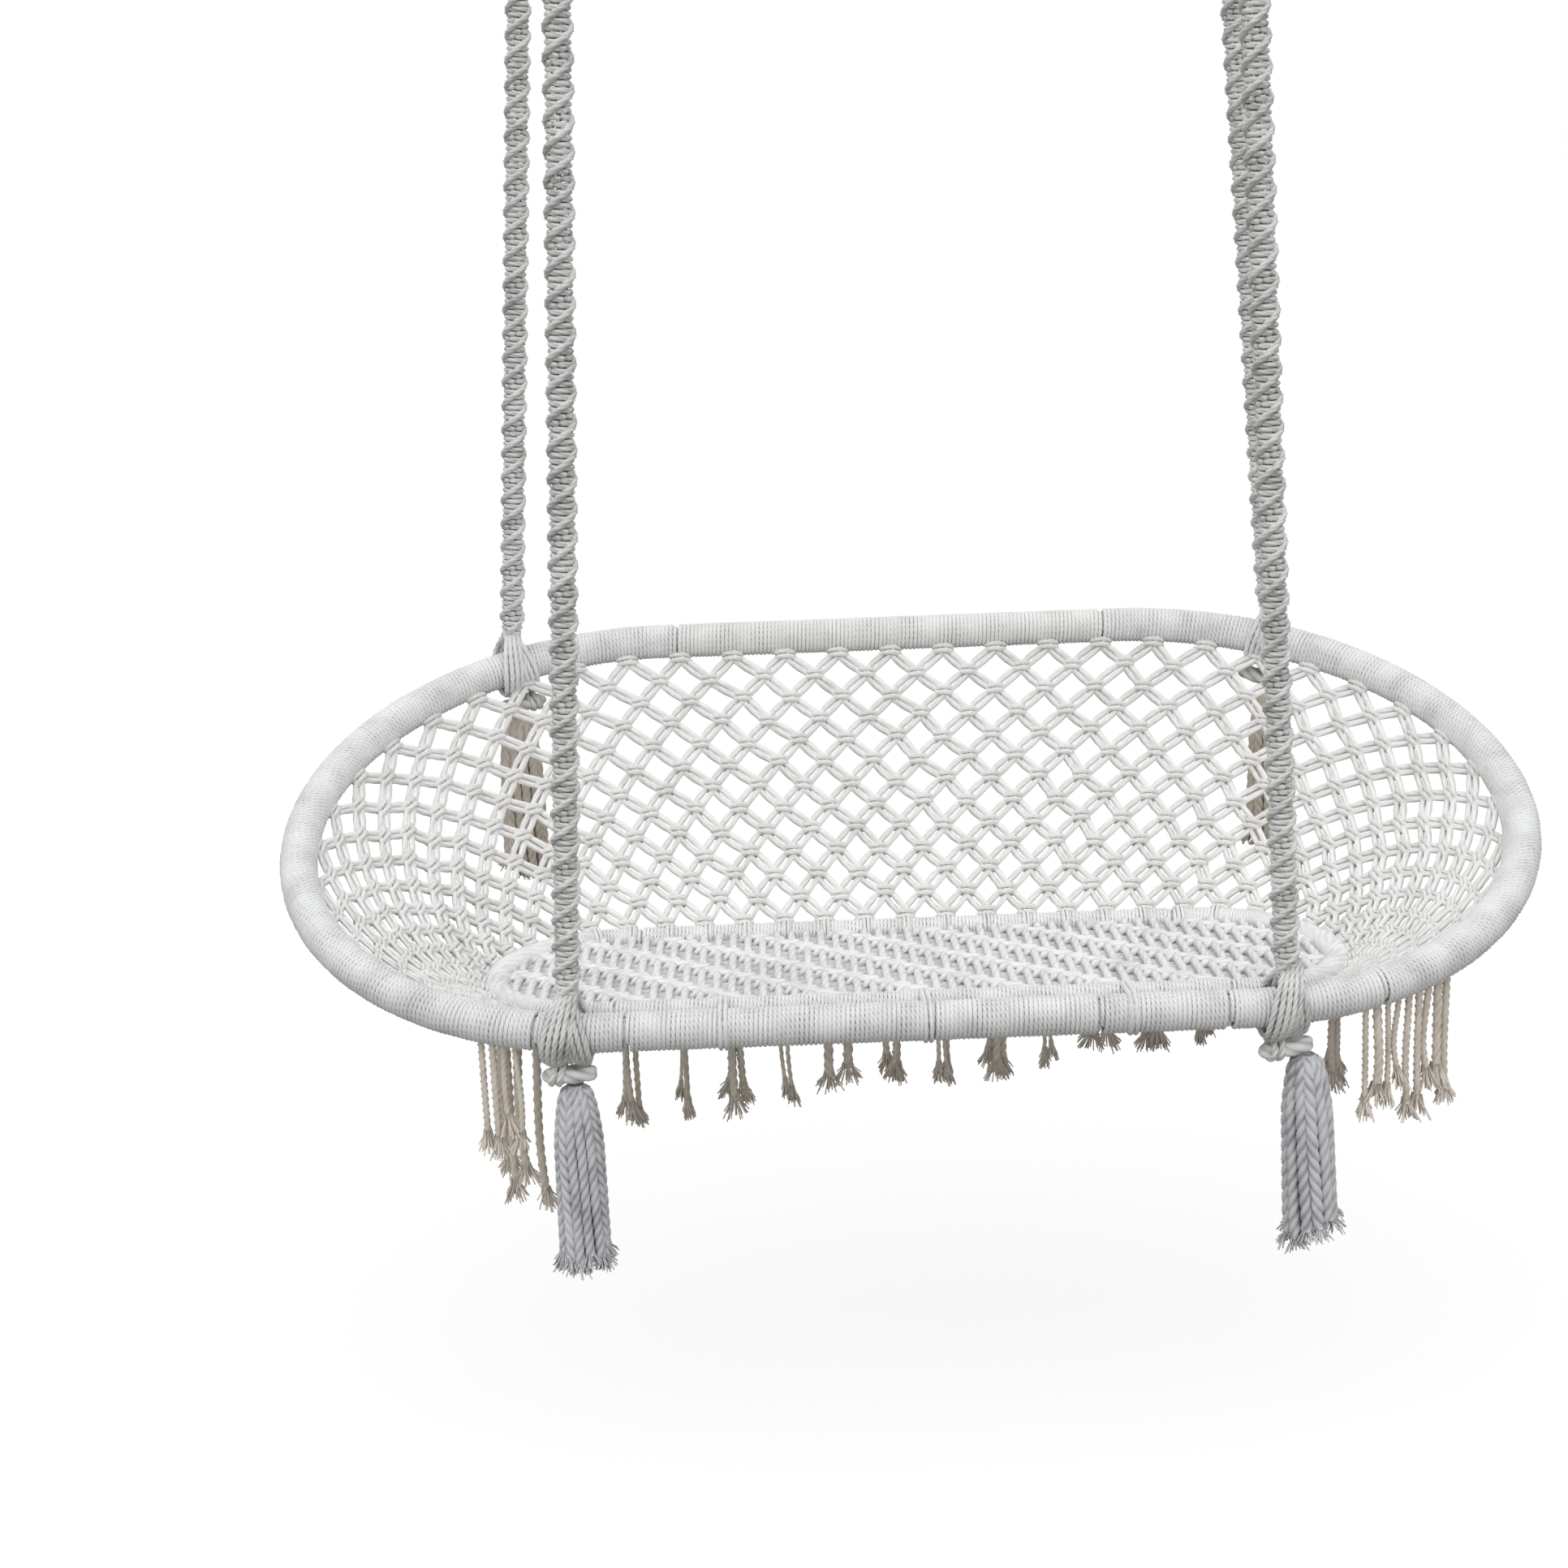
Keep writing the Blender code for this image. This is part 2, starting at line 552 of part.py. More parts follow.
ring_steel = material("ring_steel_zinc", ZINC_STEEL, 0.35, 1.0)
rope_rows = (
    ("front", front_hitch_turn, FRONT_HALF_SPAN, FRONT_LEAN, FRONT_FOOT_BED),
    ("back", back_hitch_turn, BACK_HALF_SPAN, BACK_LEAN, BACK_FOOT_BED),
)
for row_name, hitch_turn, half_span, lean, foot_bed in rope_rows:
    for side, side_name in ((LEFT, "left"), (RIGHT, "right")):
        place = row_name + "_" + side_name
        turn = hitch_turn if side == RIGHT else half_turn - hitch_turn
        hitch("rim_hitch_" + place, turn, side)
        rim_place = rim_point(turn)
        top = Vector((side * (half_span - lean), rim_place.y, -ring_radius))
        torus("ring_" + place, ring_radius, RING_WIRE, RING_STEPS, ring_steel,
              Vector((top.x, top.y, 0)), (math.pi / 2, 0, 0))
        ahead, upward, outward = rim_frame(turn)
        climb = abs(ahead.z) * SINNET_END_WIDTH / 2
        foot = rim_place + Vector((0, 0, (hitch_reach + climb) / upward.z + SWING_GAP - foot_bed))
        run = top - foot
        pivot = add_empty("rope_foot_" + place, foot)
        pivot.rotation_euler = (0, math.atan2(run.x, run.z), 0)
        length = run.length - eye_radius - EYE_ROPE / 2 - SEAT_GAP
        column = sinnet("sinnet_" + place, length, pivot)
        bore = bpy.data.objects.new("bore_" + place, cylinder("bore", CORE_DIAMETER + 2 * SEAT_GAP, CORE_END,
                                                             length + CORE_END, CORE_SIDES))
        cutters.objects.link(bore)
        bore.parent = pivot
        bore.hide_render = True
        bore.display_type = "WIRE"
        cut = column.modifiers.new("core_bore", "BOOLEAN")
        cut.operation = "DIFFERENCE"
        cut.object = bore
        core_name = "sinnet_core_" + place
        add_object(core_name, cylinder(core_name, CORE_DIAMETER, CORE_END + SEAT_GAP, length, CORE_SIDES),
                   rope_material(core_name, CREAM_ROPE), pivot)
        torus("eye_" + place, eye_radius, EYE_ROPE, EYE_STEPS, rope_material("eye_" + place, GREY_ROPE),
              (0, 0, run.length), (0, math.pi / 2, 0), pivot)
        knot_place = rim_place - upward * (hitch_reach + KNOT_DIAMETER / 2 + SEAT_GAP - KNOT_BED)
        knot("knot_" + place, knot_place, ahead)
        long_pull = (KNOT_LENGTH / 2) ** 2 * ahead.z * ahead
        knot_low = long_pull + (KNOT_DIAMETER / 2) ** 2 * upward.z * upward
        knot_foot = knot_place - knot_low / knot_low.z ** 0.5
        if place == "front_right":
            knot_foot = knot_side(knot_place)
        tassel("tassel_" + place, knot_foot - Vector((0, 0, TASSEL_HEAD / 2 + SEAT_GAP)))


# Fringe: cut ends of the net cords, knotted in a row under the seat hoop
def fringe(name, carrier, turn, length, strands, first_strand, last_strand):
    shape = bmesh.new()
    bmesh.ops.create_cube(shape, size=1)
    bmesh.ops.scale(shape, verts=shape.verts, vec=(length, FRINGE_HEADER, FRINGE_HEADER))
    lengthwise = [edge for edge in shape.edges if abs(edge.verts[0].co.x - edge.verts[1].co.x) > length / 2]
    bmesh.ops.subdivide_edges(shape, edges=lengthwise, cuts=2 * strands, use_grid_fill=True)
    for i in range(strands):
        share = (2 * i + 1.5) / (2 * strands + 1) - 0.5
        under = [face for face in shape.faces if face.normal.z < -0.9
                 and abs(face.calc_center_median().x / length - share) < 1 / (4 * strands)]
        grown = bmesh.ops.extrude_discrete_faces(shape, faces=under)["faces"]
        drop = first_strand + (last_strand - first_strand) * i / (strands - 1)
        drop -= FRINGE_STEP * (0.5 + 0.5 * math.cos(FRINGE_UNEVENNESS * i))
        verts = list({vert for face in grown for vert in face.verts})
        bmesh.ops.translate(shape, verts=verts, vec=(0, 0, -drop))
    made = add_object(name, mesh_from(name, shape), rope_material(name, TAN_ROPE))
    made.location = carrier - Vector((0, 0, seat_wrap_radius + FRINGE_HEADER / 2 + SWING_GAP))
    made.rotation_euler = turn
    return made


fringe("fringe_back", seat_point(quarter), (0, 0, 0), FRINGE_BACK_LENGTH,
       FRINGE_BACK_STRANDS, FRINGE_BACK_LONG, FRINGE_BACK_SHORT)
for side_name, turn, drop in (("left", half_turn, FRINGE_LEFT_END), ("right", 0.0, FRINGE_RIGHT_END)):
    fringe("fringe_" + side_name, seat_point(turn), (0, seat_slope, quarter), FRINGE_END_SPAN,
           FRINGE_END_STRANDS, drop, drop)
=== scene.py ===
import bisect
import math
import random

import bpy
import bmesh
from mathutils import Matrix, Vector


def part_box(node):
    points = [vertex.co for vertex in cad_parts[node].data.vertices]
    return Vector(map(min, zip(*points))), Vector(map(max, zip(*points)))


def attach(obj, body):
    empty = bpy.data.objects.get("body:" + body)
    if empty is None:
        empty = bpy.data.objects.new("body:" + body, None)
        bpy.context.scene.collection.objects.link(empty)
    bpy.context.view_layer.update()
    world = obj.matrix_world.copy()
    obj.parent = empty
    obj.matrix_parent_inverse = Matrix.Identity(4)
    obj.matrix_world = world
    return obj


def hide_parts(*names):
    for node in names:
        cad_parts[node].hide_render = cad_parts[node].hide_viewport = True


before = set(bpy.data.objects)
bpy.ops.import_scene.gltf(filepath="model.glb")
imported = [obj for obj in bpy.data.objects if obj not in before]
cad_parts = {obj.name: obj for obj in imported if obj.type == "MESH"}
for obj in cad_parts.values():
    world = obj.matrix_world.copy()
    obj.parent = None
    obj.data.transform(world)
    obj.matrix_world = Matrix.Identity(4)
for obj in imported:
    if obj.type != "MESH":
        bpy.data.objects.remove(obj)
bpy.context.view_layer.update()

# Camera: stands level with the hanging ropes and looks down at the seat, square to the front bar.
# Its place comes from the rim's outline in the photograph, and it leans by two degrees.
PHOTO_PIXELS = 1932
FOCAL_PIXELS = 3073
SENSOR_MM = 36
VIEW_DISTANCE = 4.0
VIEW_TURN = math.radians(-0.3)
VIEW_RISE = math.radians(14.6)
VIEW_ROLL = math.radians(-2.05)
VIEW_AIM = Vector((-0.196, 0, -1.37))

scene = bpy.context.scene
view_back = Vector((math.sin(VIEW_TURN) * math.cos(VIEW_RISE), -math.cos(VIEW_TURN) * math.cos(VIEW_RISE),
                    math.sin(VIEW_RISE)))
level = Vector((math.cos(VIEW_TURN), math.sin(VIEW_TURN), 0))
upright = view_back.cross(level)
view_right = level * math.cos(VIEW_ROLL) + upright * math.sin(VIEW_ROLL)
view_up = upright * math.cos(VIEW_ROLL) - level * math.sin(VIEW_ROLL)
camera = bpy.data.objects.new("camera", bpy.data.cameras.new("camera"))
scene.collection.objects.link(camera)
camera.data.sensor_width = SENSOR_MM
camera.data.lens = SENSOR_MM * FOCAL_PIXELS / PHOTO_PIXELS
camera.matrix_world = (Matrix.Translation(VIEW_AIM + view_back * VIEW_DISTANCE)
                       @ Matrix((view_right, view_up, view_back)).transposed().to_4x4())
scene.camera = camera

# Steel hoops: the rim and the seat hoop are bent tubes, powder-coated white and hidden by their wraps.
# They carry the whole seat, and only slits between turns of rope let the coat show.
COAT_GRAIN = 0.0012


def linear(code):
    """An sRGB hex colour as linear light."""
    channels = [int(code[i:i + 2], 16) / 255 for i in (0, 2, 4)]
    return (*(c / 12.92 if c <= 0.04045 else ((c + 0.055) / 1.055) ** 2.4 for c in channels), 1.0)


def add_node(owner, kind, settings=None, links=None):
    """Adds a shader node to a material or the world. Settings go by property or input, links by input."""
    made = owner.node_tree.nodes.new(kind)
    for name, value in (settings or {}).items():
        if isinstance(name, str) and hasattr(made, name):
            setattr(made, name, value)
        else:
            made.inputs[name].default_value = value
    for name, (source, output) in (links or {}).items():
        owner.node_tree.links.new(source.outputs[output], made.inputs[name])
    return made


def start_material(name, roughness):
    """A named material and its shader, with the roughness set."""
    material = bpy.data.materials.new(name)
    material.use_nodes = True
    shader = material.node_tree.nodes["Principled BSDF"]
    shader.inputs["Roughness"].default_value = roughness
    return material, shader


# White powder coat: a dull, slightly pebbled white
powder_coat, coat_shader = start_material("white_powder_coat", 0.45)
coat_shader.inputs["Base Color"].default_value = linear("E4E3DE")
coat_place = add_node(powder_coat, "ShaderNodeTexCoord")
coat_grain = add_node(powder_coat, "ShaderNodeTexNoise", {"Scale": 1 / COAT_GRAIN},
                      {"Vector": (coat_place, "Object")})
coat_bump = add_node(powder_coat, "ShaderNodeBump", {"Strength": 0.2, "Distance": 0.0002},
                     {"Height": (coat_grain, 0)})
powder_coat.node_tree.links.new(coat_bump.outputs[0], coat_shader.inputs["Normal"])
for hoop_name in ("rim_tube", "seat_tube"):
    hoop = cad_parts[hoop_name]
    hoop.data.materials.clear()
    hoop.data.materials.append(powder_coat)
    hoop.data.shade_smooth()

# Rim wrap: one long cotton rope of three strands, wound turn by turn round the rim tube.
# It is pulled tight by hand, so turns vary a little, and each new length is tucked under at a seam.
RIM_WIDTH = 2.0
RIM_DEPTH = 1.0
RIM_FRONT_STRAIGHT = 0.94
RIM_BACK_STRAIGHT = 0.79
STRAIGHT_TURN = 0.55
RIM_TILT = math.radians(26)
RIM_DROP = 1.42
RIM_WRAP_RADIUS = 0.030
RIM_CORD = 0.0080
RIM_PITCH = 0.0067
WRAP_STEPS = 54
WRAP_SEAM = 0.003
WRAP_SLACK = 0.05
WRAP_DRIFT = 0.07
WRAP_TUCK = 0.6
YARN = 0.0016
NAP = 0.0005

quarter = math.pi / 2
rim_half_width = RIM_WIDTH / 2 - RIM_WRAP_RADIUS
rim_half_depth = RIM_DEPTH / 2 - RIM_WRAP_RADIUS
rim_upward = Vector((0, -math.sin(RIM_TILT), math.cos(RIM_TILT)))


def cotton(name, pale, shade, patch):
    """Twisted cotton: pale matt crowns, painted shade in the grooves, soft stains and a nap of fine fibres.
    """
    material, shader = start_material(name, 0.95)
    shader.inputs["Specular IOR Level"].default_value = 0.12
    shader.inputs["Sheen Weight"].default_value = 0.25
    shader.inputs["Sheen Roughness"].default_value = 0.6
    place = add_node(material, "ShaderNodeTexCoord")
    groove_shade_mask = add_node(material, "ShaderNodeAttribute", {"attribute_name": "crown"})
    stains = add_node(material, "ShaderNodeTexNoise", {"Scale": 1 / patch, "Detail": 3.0},
                      {"Vector": (place, "Object")})
    yarns = add_node(material, "ShaderNodeTexNoise", {"Scale": 1 / YARN, "Detail": 2.0},
                     {"Vector": (place, "Object")})
    # Painted shade: where the crown attribute is low, in the grooves, the colour falls toward the shade
    # colour, mixed with stains
    groove_shade_and_stains = add_node(material, "ShaderNodeMath", {"operation": "MULTIPLY_ADD", 1: 0.45},
                    {0: (groove_shade_mask, "Fac"), 2: (stains, 0)})
    tone = add_node(material, "ShaderNodeMath", {"operation": "MULTIPLY_ADD", 1: 0.25},
                    {0: (yarns, 0), 2: (groove_shade_and_stains, 0)})
    ramp = add_node(material, "ShaderNodeValToRGB", {}, {"Fac": (tone, 0)})
    ramp.color_ramp.elements[0].position = 0.45
    ramp.color_ramp.elements[0].color = linear(shade)
    ramp.color_ramp.elements[1].position = 1.0
    ramp.color_ramp.elements[1].color = linear(pale)
    bump = add_node(material, "ShaderNodeBump", {"Strength": 0.5, "Distance": NAP}, {"Height": (yarns, 0)})
    material.node_tree.links.new(ramp.outputs["Color"], shader.inputs["Base Color"])
    material.node_tree.links.new(bump.outputs[0], shader.inputs["Normal"])
    return material


# White cotton: bleached, close to neutral, with a light grey painted shade in the grooves
white_cotton = cotton("white_cotton_rope", "F8F8F7", "CFCFCC", 0.05)
# Cream cotton: unbleached and a little stained, with a warm grey painted shade in the grooves
cream_cotton = cotton("cream_cotton_rope", "F8F7F5", "DEDBD6", 0.045)
# Knot cotton: the knotted ropes, near white with stains, and a deep painted shade in the gaps between cords
grey_cotton = cotton("cotton_rope_deep_groove_shade", "F5F4F1", "ABA9A6", 0.04)
# Raw cotton: undyed ends of cord, tan and frayed
raw_cotton = cotton("raw_cotton_cord", "F4EADD", "D3C5B2", 0.03)


def rope(name, strands, material, sides=6, lay=3.0, depth=0.22, closed=False):
    """Rope of three strands along each route of (points, diameter, twist).

    Its section has three lobes and turns as it goes, by whole thirds so that a closed rope meets itself.
    """
    section = bpy.data.curves.new(name + "_section", "CURVE")
    outline = section.splines.new("POLY")
    outline.points.add(sides - 1)
    outline.use_cyclic_u = True
    crowns = []
    for i, point in enumerate(outline.points):
        angle = 2 * math.pi * i / sides
        crowns.append(abs(math.cos(1.5 * angle)))
        reach = 0.5 - 0.5 * depth * (1 - crowns[i])
        point.co = (reach * math.cos(angle), reach * math.sin(angle), 0, 1)
    line = bpy.data.curves.new(name, "CURVE")
    line.dimensions = "3D"
    line.bevel_mode = "OBJECT"
    line.bevel_object = bpy.data.objects.new(name + "_section", section)
    line.use_fill_caps = not closed
    for points, diameter, twist in strands:
        spline = line.splines.new("POLY")
        spline.points.add(len(points) - 1)
        spline.use_cyclic_u = closed
        run = [0.0]
        for near, far in zip(points, points[1:]):
            run.append(run[-1] + (far - near).length)
        whole = run[-1] + ((points[0] - points[-1]).length if closed else 0)
        turns = int(min(3 * whole / (lay * diameter), len(points) / 3)) / 3
        spline.points.foreach_set("co", [value for point in points for value in (*point, 1)])
        spline.points.foreach_set("tilt", [twist * 2 * math.pi * turns * mark / whole for mark in run])
        spline.points.foreach_set("radius", [diameter] * len(points))
    drawn = bpy.data.objects.new(name + "_line", line)
    scene.collection.objects.link(drawn)
    mesh = bpy.data.meshes.new_from_object(drawn.evaluated_get(bpy.context.evaluated_depsgraph_get()))
    bpy.data.objects.remove(drawn)
    # Crown: 1 on the strand crests and 0 in the grooves, where the cotton paints shade
    crown = mesh.attributes.new("crown", "FLOAT", "POINT")
    crown.data.foreach_set("value", [crowns[i % sides] for i in range(len(mesh.vertices))])
    shape = bmesh.new()
    shape.from_mesh(mesh)
    bmesh.ops.remove_doubles(shape, verts=shape.verts, dist=0.00001)
    shape.to_mesh(mesh)
    shape.free()
    mesh.shade_smooth()
    mesh.name = name
    mesh.materials.clear()
    mesh.materials.append(material)
    made = bpy.data.objects.new(name, mesh)
    scene.collection.objects.link(made)
    return made


def dress(made, body, slot, *nodes):
    """Hangs a finished piece on its body, in place of the CAD nodes that it stands for."""
    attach(made, body)
    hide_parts(*nodes)


def hoop_point(turn, half_width, half_depth, front, back):
    """A place on a hoop with two straights and round ends, from the right end by the back to the left."""
    turn = (turn + quarter) % (4 * quarter) - quarter
    bend = quarter / (quarter - STRAIGHT_TURN)
    if turn < STRAIGHT_TURN - quarter:
        return (turn + quarter) / STRAIGHT_TURN * front / 2, -half_depth
    if turn > 3 * quarter - STRAIGHT_TURN:
        return (turn - 3 * quarter) / STRAIGHT_TURN * front / 2, -half_depth
    if abs(turn - quarter) < STRAIGHT_TURN:
        return (quarter - turn) / STRAIGHT_TURN * back / 2, half_depth
    side = 1 if turn < quarter else -1
    angle = bend * (turn if side > 0 else 2 * quarter - turn)
    straight = (front + back) / 2 + (back - front) / 2 * math.sin(angle)
    end = half_width - (front + back) / 4
    return side * (straight / 2 + end * math.cos(angle)), half_depth * math.sin(angle)


def rim_point(turn):
    x, depth = hoop_point(turn, rim_half_width, rim_half_depth, RIM_FRONT_STRAIGHT, RIM_BACK_STRAIGHT)
    return Vector((x, depth * math.cos(RIM_TILT), depth * math.sin(RIM_TILT) - RIM_DROP))


def measured_line(place, start, end, count=600):
    """The length of a line, and a function from a distance along it to the place and the heading there."""
    spots = [place(start + (end - start) * i / count) for i in range(count + 1)]
    marks = [0.0]
    for near, far in zip(spots, spots[1:]):
        marks.append(marks[-1] + (far - near).length)

    def at(distance):
        i = min(max(bisect.bisect_right(marks, distance) - 1, 0), count - 1)
        share = (distance - marks[i]) / (marks[i + 1] - marks[i])
        heading = (spots[i + 1] - spots[i]).normalized()
        return spots[i].lerp(spots[i + 1], share), heading

    return marks[-1], at


def wound(place, start, end, upward, seams, cord, pitch, radius):
    """Routes of cord wound round a hoop: one for each length between seams, with its ends tucked in."""
    length, at = measured_line(place, start, end)
    stops = [0.0, *(share * length for share in seams), length]
    routes = []
    for low, high in zip(stops, stops[1:]):
        count = round((high - low - WRAP_SEAM) / pitch) * WRAP_STEPS
        route = []
        for i in range(count + 1):
            centre, ahead = at(low + WRAP_SEAM / 2 + (high - low - WRAP_SEAM) * i / count)
            swing = 2 * math.pi * i / WRAP_STEPS
            tucked = 1 - min(1.0, 2 * i / WRAP_STEPS, 2 * (count - i) / WRAP_STEPS)
            slack = WRAP_SLACK * math.sin(0.83 * swing / 6) * math.sin(1.31 * swing / 6)
            reach = radius + cord * (slack - WRAP_TUCK * tucked)
            outward = ahead.cross(upward)
            shift = ahead * (cord * WRAP_DRIFT * math.sin(0.61 * swing / 6))
            route.append(centre + (outward * math.cos(swing) + upward * math.sin(swing)) * reach + shift)
        routes.append((route, cord, -1))
    return routes


# Each length has its name, the turns where it starts and ends, its seams, its cotton and its slot
wrap_joint = 0.94 * STRAIGHT_TURN
rim_lengths = (
    ("front", -quarter - wrap_joint, -quarter + wrap_joint, (0.505, 0.785), white_cotton, "white_rope"),
    ("right", -quarter + wrap_joint, quarter - wrap_joint, (0.045, 0.14), white_cotton, "white_rope"),
    ("back", quarter - wrap_joint, quarter + wrap_joint, (), cream_cotton, "cream_rope"),
    ("left", quarter + wrap_joint, 3 * quarter - wrap_joint, (0.92,), white_cotton, "white_rope"),
)
for side_name, start, end, seams, material, slot in rim_lengths:
    radius = RIM_WRAP_RADIUS - RIM_CORD / 2
    routes = wound(rim_point, start, end, rim_upward, seams, RIM_CORD, RIM_PITCH, radius)
    wrap = rope("rim_wrap_rope_" + side_name, routes, material, lay=3.6, depth=0.30)
    dress(wrap, "seat", slot, "rim_wrap_" + side_name)

# Seat hoop wrap: finer cotton cord wound closely round the seat hoop's tube.
# The net's last row and the woven seat are tied over it.
SEAT_HALF_WIDTH = 0.66
SEAT_HALF_DEPTH = 0.225
SEAT_FRONT_STRAIGHT = 0.98
SEAT_BACK_STRAIGHT = 0.94
SEAT_CENTRE = Vector((0, -0.12563, -1.64103))
SEAT_SLOPE = 0.0667161
SEAT_WRAP_RADIUS = 0.022
SEAT_CORD = 0.0068
SEAT_PITCH = 0.0059

seat_deep = Vector((0, math.cos(SEAT_SLOPE), -math.sin(SEAT_SLOPE)))
seat_upward = Vector((0, math.sin(SEAT_SLOPE), math.cos(SEAT_SLOPE)))


def seat_point(turn):
    x, depth = hoop_point(turn, SEAT_HALF_WIDTH, SEAT_HALF_DEPTH, SEAT_FRONT_STRAIGHT, SEAT_BACK_STRAIGHT)
    return SEAT_CENTRE + Vector((x, 0, 0)) + seat_deep * depth


for side_name, start, end in (length[:3] for length in rim_lengths):
    radius = SEAT_WRAP_RADIUS - SEAT_CORD / 2
    routes = wound(seat_point, start, end, seat_upward, (), SEAT_CORD, SEAT_PITCH, radius)
    wrap = rope("seat_wrap_cord_" + side_name, routes, white_cotton, lay=5.0)
    dress(wrap, "seat", "white_rope", "seat_wrap_" + side_name)

# Net: doubled cotton cords knotted in diamonds, from ties on the rim down to the seat hoop.
# Each crossing is a flat knot of two turns, and the feet toward the back are lashed round the seat hoop's
# wrap.
NET_FRONT_TURN = 0.65
NET_CELLS = 36
NET_ROWS = 12
NET_CORD = 0.0112
NET_PAIR_TOP = 0.0102
NET_PAIR_LOW = 0.0132
NET_KNOT_CORD = 0.0104
NET_KNOT_WIDE = 0.0126
NET_KNOT_DEEP = 0.0082
NET_KNOT_APART = 0.47
NET_TOP_WIDE = 1.25
NET_TIE_CORD = 0.0062
NET_TIE_APART = 1.05
NET_TIE_PROUD = 0.3
NET_TIE_CELLS = 9
NET_CROWD = 0.2
NET_FULL_ROW = 0.030
NET_LEAST = 0.45
NET_SLACK = 0.004

net_length, net_at = measured_line(rim_point, -NET_FRONT_TURN, 2 * quarter + NET_FRONT_TURN)
foot_length, foot_at = measured_line(seat_point, -NET_FRONT_TURN, 2 * quarter + NET_FRONT_TURN)


def net_foot(cell):
    """The place on the seat hoop where a cell's foot is tied: closer together toward the front ends."""
    middle = cell / NET_CELLS - 0.5
    return foot_at(foot_length * (0.5 + middle * (1 + NET_CROWD - 4 * NET_CROWD * middle ** 2)))


def net_place(cell, row):
    """A place on the net: cell along the rim, row down to the seat hoop."""
    top, ahead = net_at(net_length * cell / NET_CELLS)
    foot = net_foot(cell)[0]
    down = (foot - top).normalized()
    start = top + down * (RIM_WRAP_RADIUS + NET_CORD / 2)
    stop = foot - down * (SEAT_WRAP_RADIUS + NET_CORD / 2)
    wave = math.sin(2.3 * cell + 1.7 * row) * math.sin(1.1 * cell - 2.9 * row)
    sway = 0 if row in (0, NET_ROWS) else NET_SLACK
    return start.lerp(stop, row / NET_ROWS) + (ahead + down) * (wave * sway)


def ring_route(centre, first, second, count):
    """A closed oval of count points round centre."""
    return [centre + first * math.cos(2 * math.pi * i / count) + second * math.sin(2 * math.pi * i / count)
            for i in range(count)]


def net_frame(cell, row):
    """The directions across, down and out of the net at a knot, and the room it has."""
    across = (net_place(cell + 0.3, row) - net_place(cell - 0.3, row)).normalized()
    fall = net_place(cell, min(row + 1, NET_ROWS)) - net_place(cell, max(row - 1, 0))
    room = fall.length / (2 if 0 < row < NET_ROWS else 1)
    down = fall.normalized()
    return across, down, across.cross(down).normalized(), max(NET_LEAST, min(1.0, room / NET_FULL_ROW))


# Each part has its name, its first and last cells, and its panels
net_parts = (
    ("right", 0, 13, ("net_side_right", "net_corner_right")),
    ("back", 13, 23, ("net_back_left", "net_back_right")),
    ("left", 23, NET_CELLS, ("net_side_left", "net_corner_left")),
)
# Shares of the way between two knots, and how far the pair of cords stands apart there
pair_spread = ((0.0, 0.5), (0.2, 1.0), (0.5, 1.08), (0.8, 1.0), (1.0, 0.5))
for part_name, first, last, panels in net_parts:
    cords = []
    knots = []
    for row in range(NET_ROWS + 1):
        for cell in range(first, last + (1 if part_name == "left" and row % 2 == 0 else 0)):
            at_cell = cell + (0.5 if row % 2 else 0.0)
            spot = net_place(at_cell, row)
            across, down, out, room = net_frame(at_cell, row)
            for pull in (-1, 1):
                wide = across * (NET_KNOT_WIDE * room * (NET_TOP_WIDE if row == 0 else 1.0))
                middle = spot + down * (pull * NET_KNOT_APART * NET_KNOT_CORD * room)
                loop = ring_route(middle, wide, out * (NET_KNOT_DEEP * room), 10)
                knots.append((loop, NET_KNOT_CORD * room, 1))
            if row == NET_ROWS:
                foot, across = net_foot(at_cell)
                around = SEAT_WRAP_RADIUS + NET_TIE_CORD * NET_TIE_PROUD
                for aside in (-0.5, 0.5) if abs(at_cell - NET_CELLS / 2) < NET_TIE_CELLS else ():
                    middle = foot + across * (aside * NET_TIE_CORD * NET_TIE_APART)
                    side = across.cross(seat_upward).normalized() * around
                    knots.append((ring_route(middle, side, seat_upward * around, 16), NET_TIE_CORD, 1))
                continue
            for lean in (-0.5, 0.5):
                if not 0 <= at_cell + lean <= NET_CELLS:
                    continue
                far = net_place(at_cell + lean, row + 1)
                pair_space = (NET_PAIR_TOP + (NET_PAIR_LOW - NET_PAIR_TOP) * row / NET_ROWS) * room
                beside = (far - spot).cross(out).normalized() * (pair_space / 2)
                for pair in (-1, 1):
                    route = []
                    for share, spread in pair_spread:
                        route.append(spot.lerp(far, share) + beside * (pair * spread))
                    cords.append((route, NET_CORD * room, pair))
    net_cords = rope("net_cords_" + part_name, cords, cream_cotton, lay=4.0, depth=0.12)
    dress(net_cords, "seat", "cream_rope", *panels)
    net_knots = rope("net_knots_" + part_name, knots, cream_cotton, lay=4.0, depth=0.12, closed=True)
    dress(net_knots, "seat", "cream_rope")

# Woven seat: pairs of cotton cord run along the seat, and thicker cords cross them in a twill.
# Each crossing cord floats over four rows, then dips under two, one row further on at each step.
WEAVE_CORD = 0.0102
WEAVE_CROSS_CORD = 0.0140
WEAVE_PAIR = 0.0052
WEAVE_ROW = 0.022
WEAVE_STEP = 0.024
WEAVE_OVER = 4
WEAVE_REPEAT = 6
WEAVE_LIFT = 0.0070
WEAVE_DIP = 0.0048
WEAVE_FLAT = 0.3
WEAVE_EDGE = 0.013
WEAVE_TUCK = 0.004

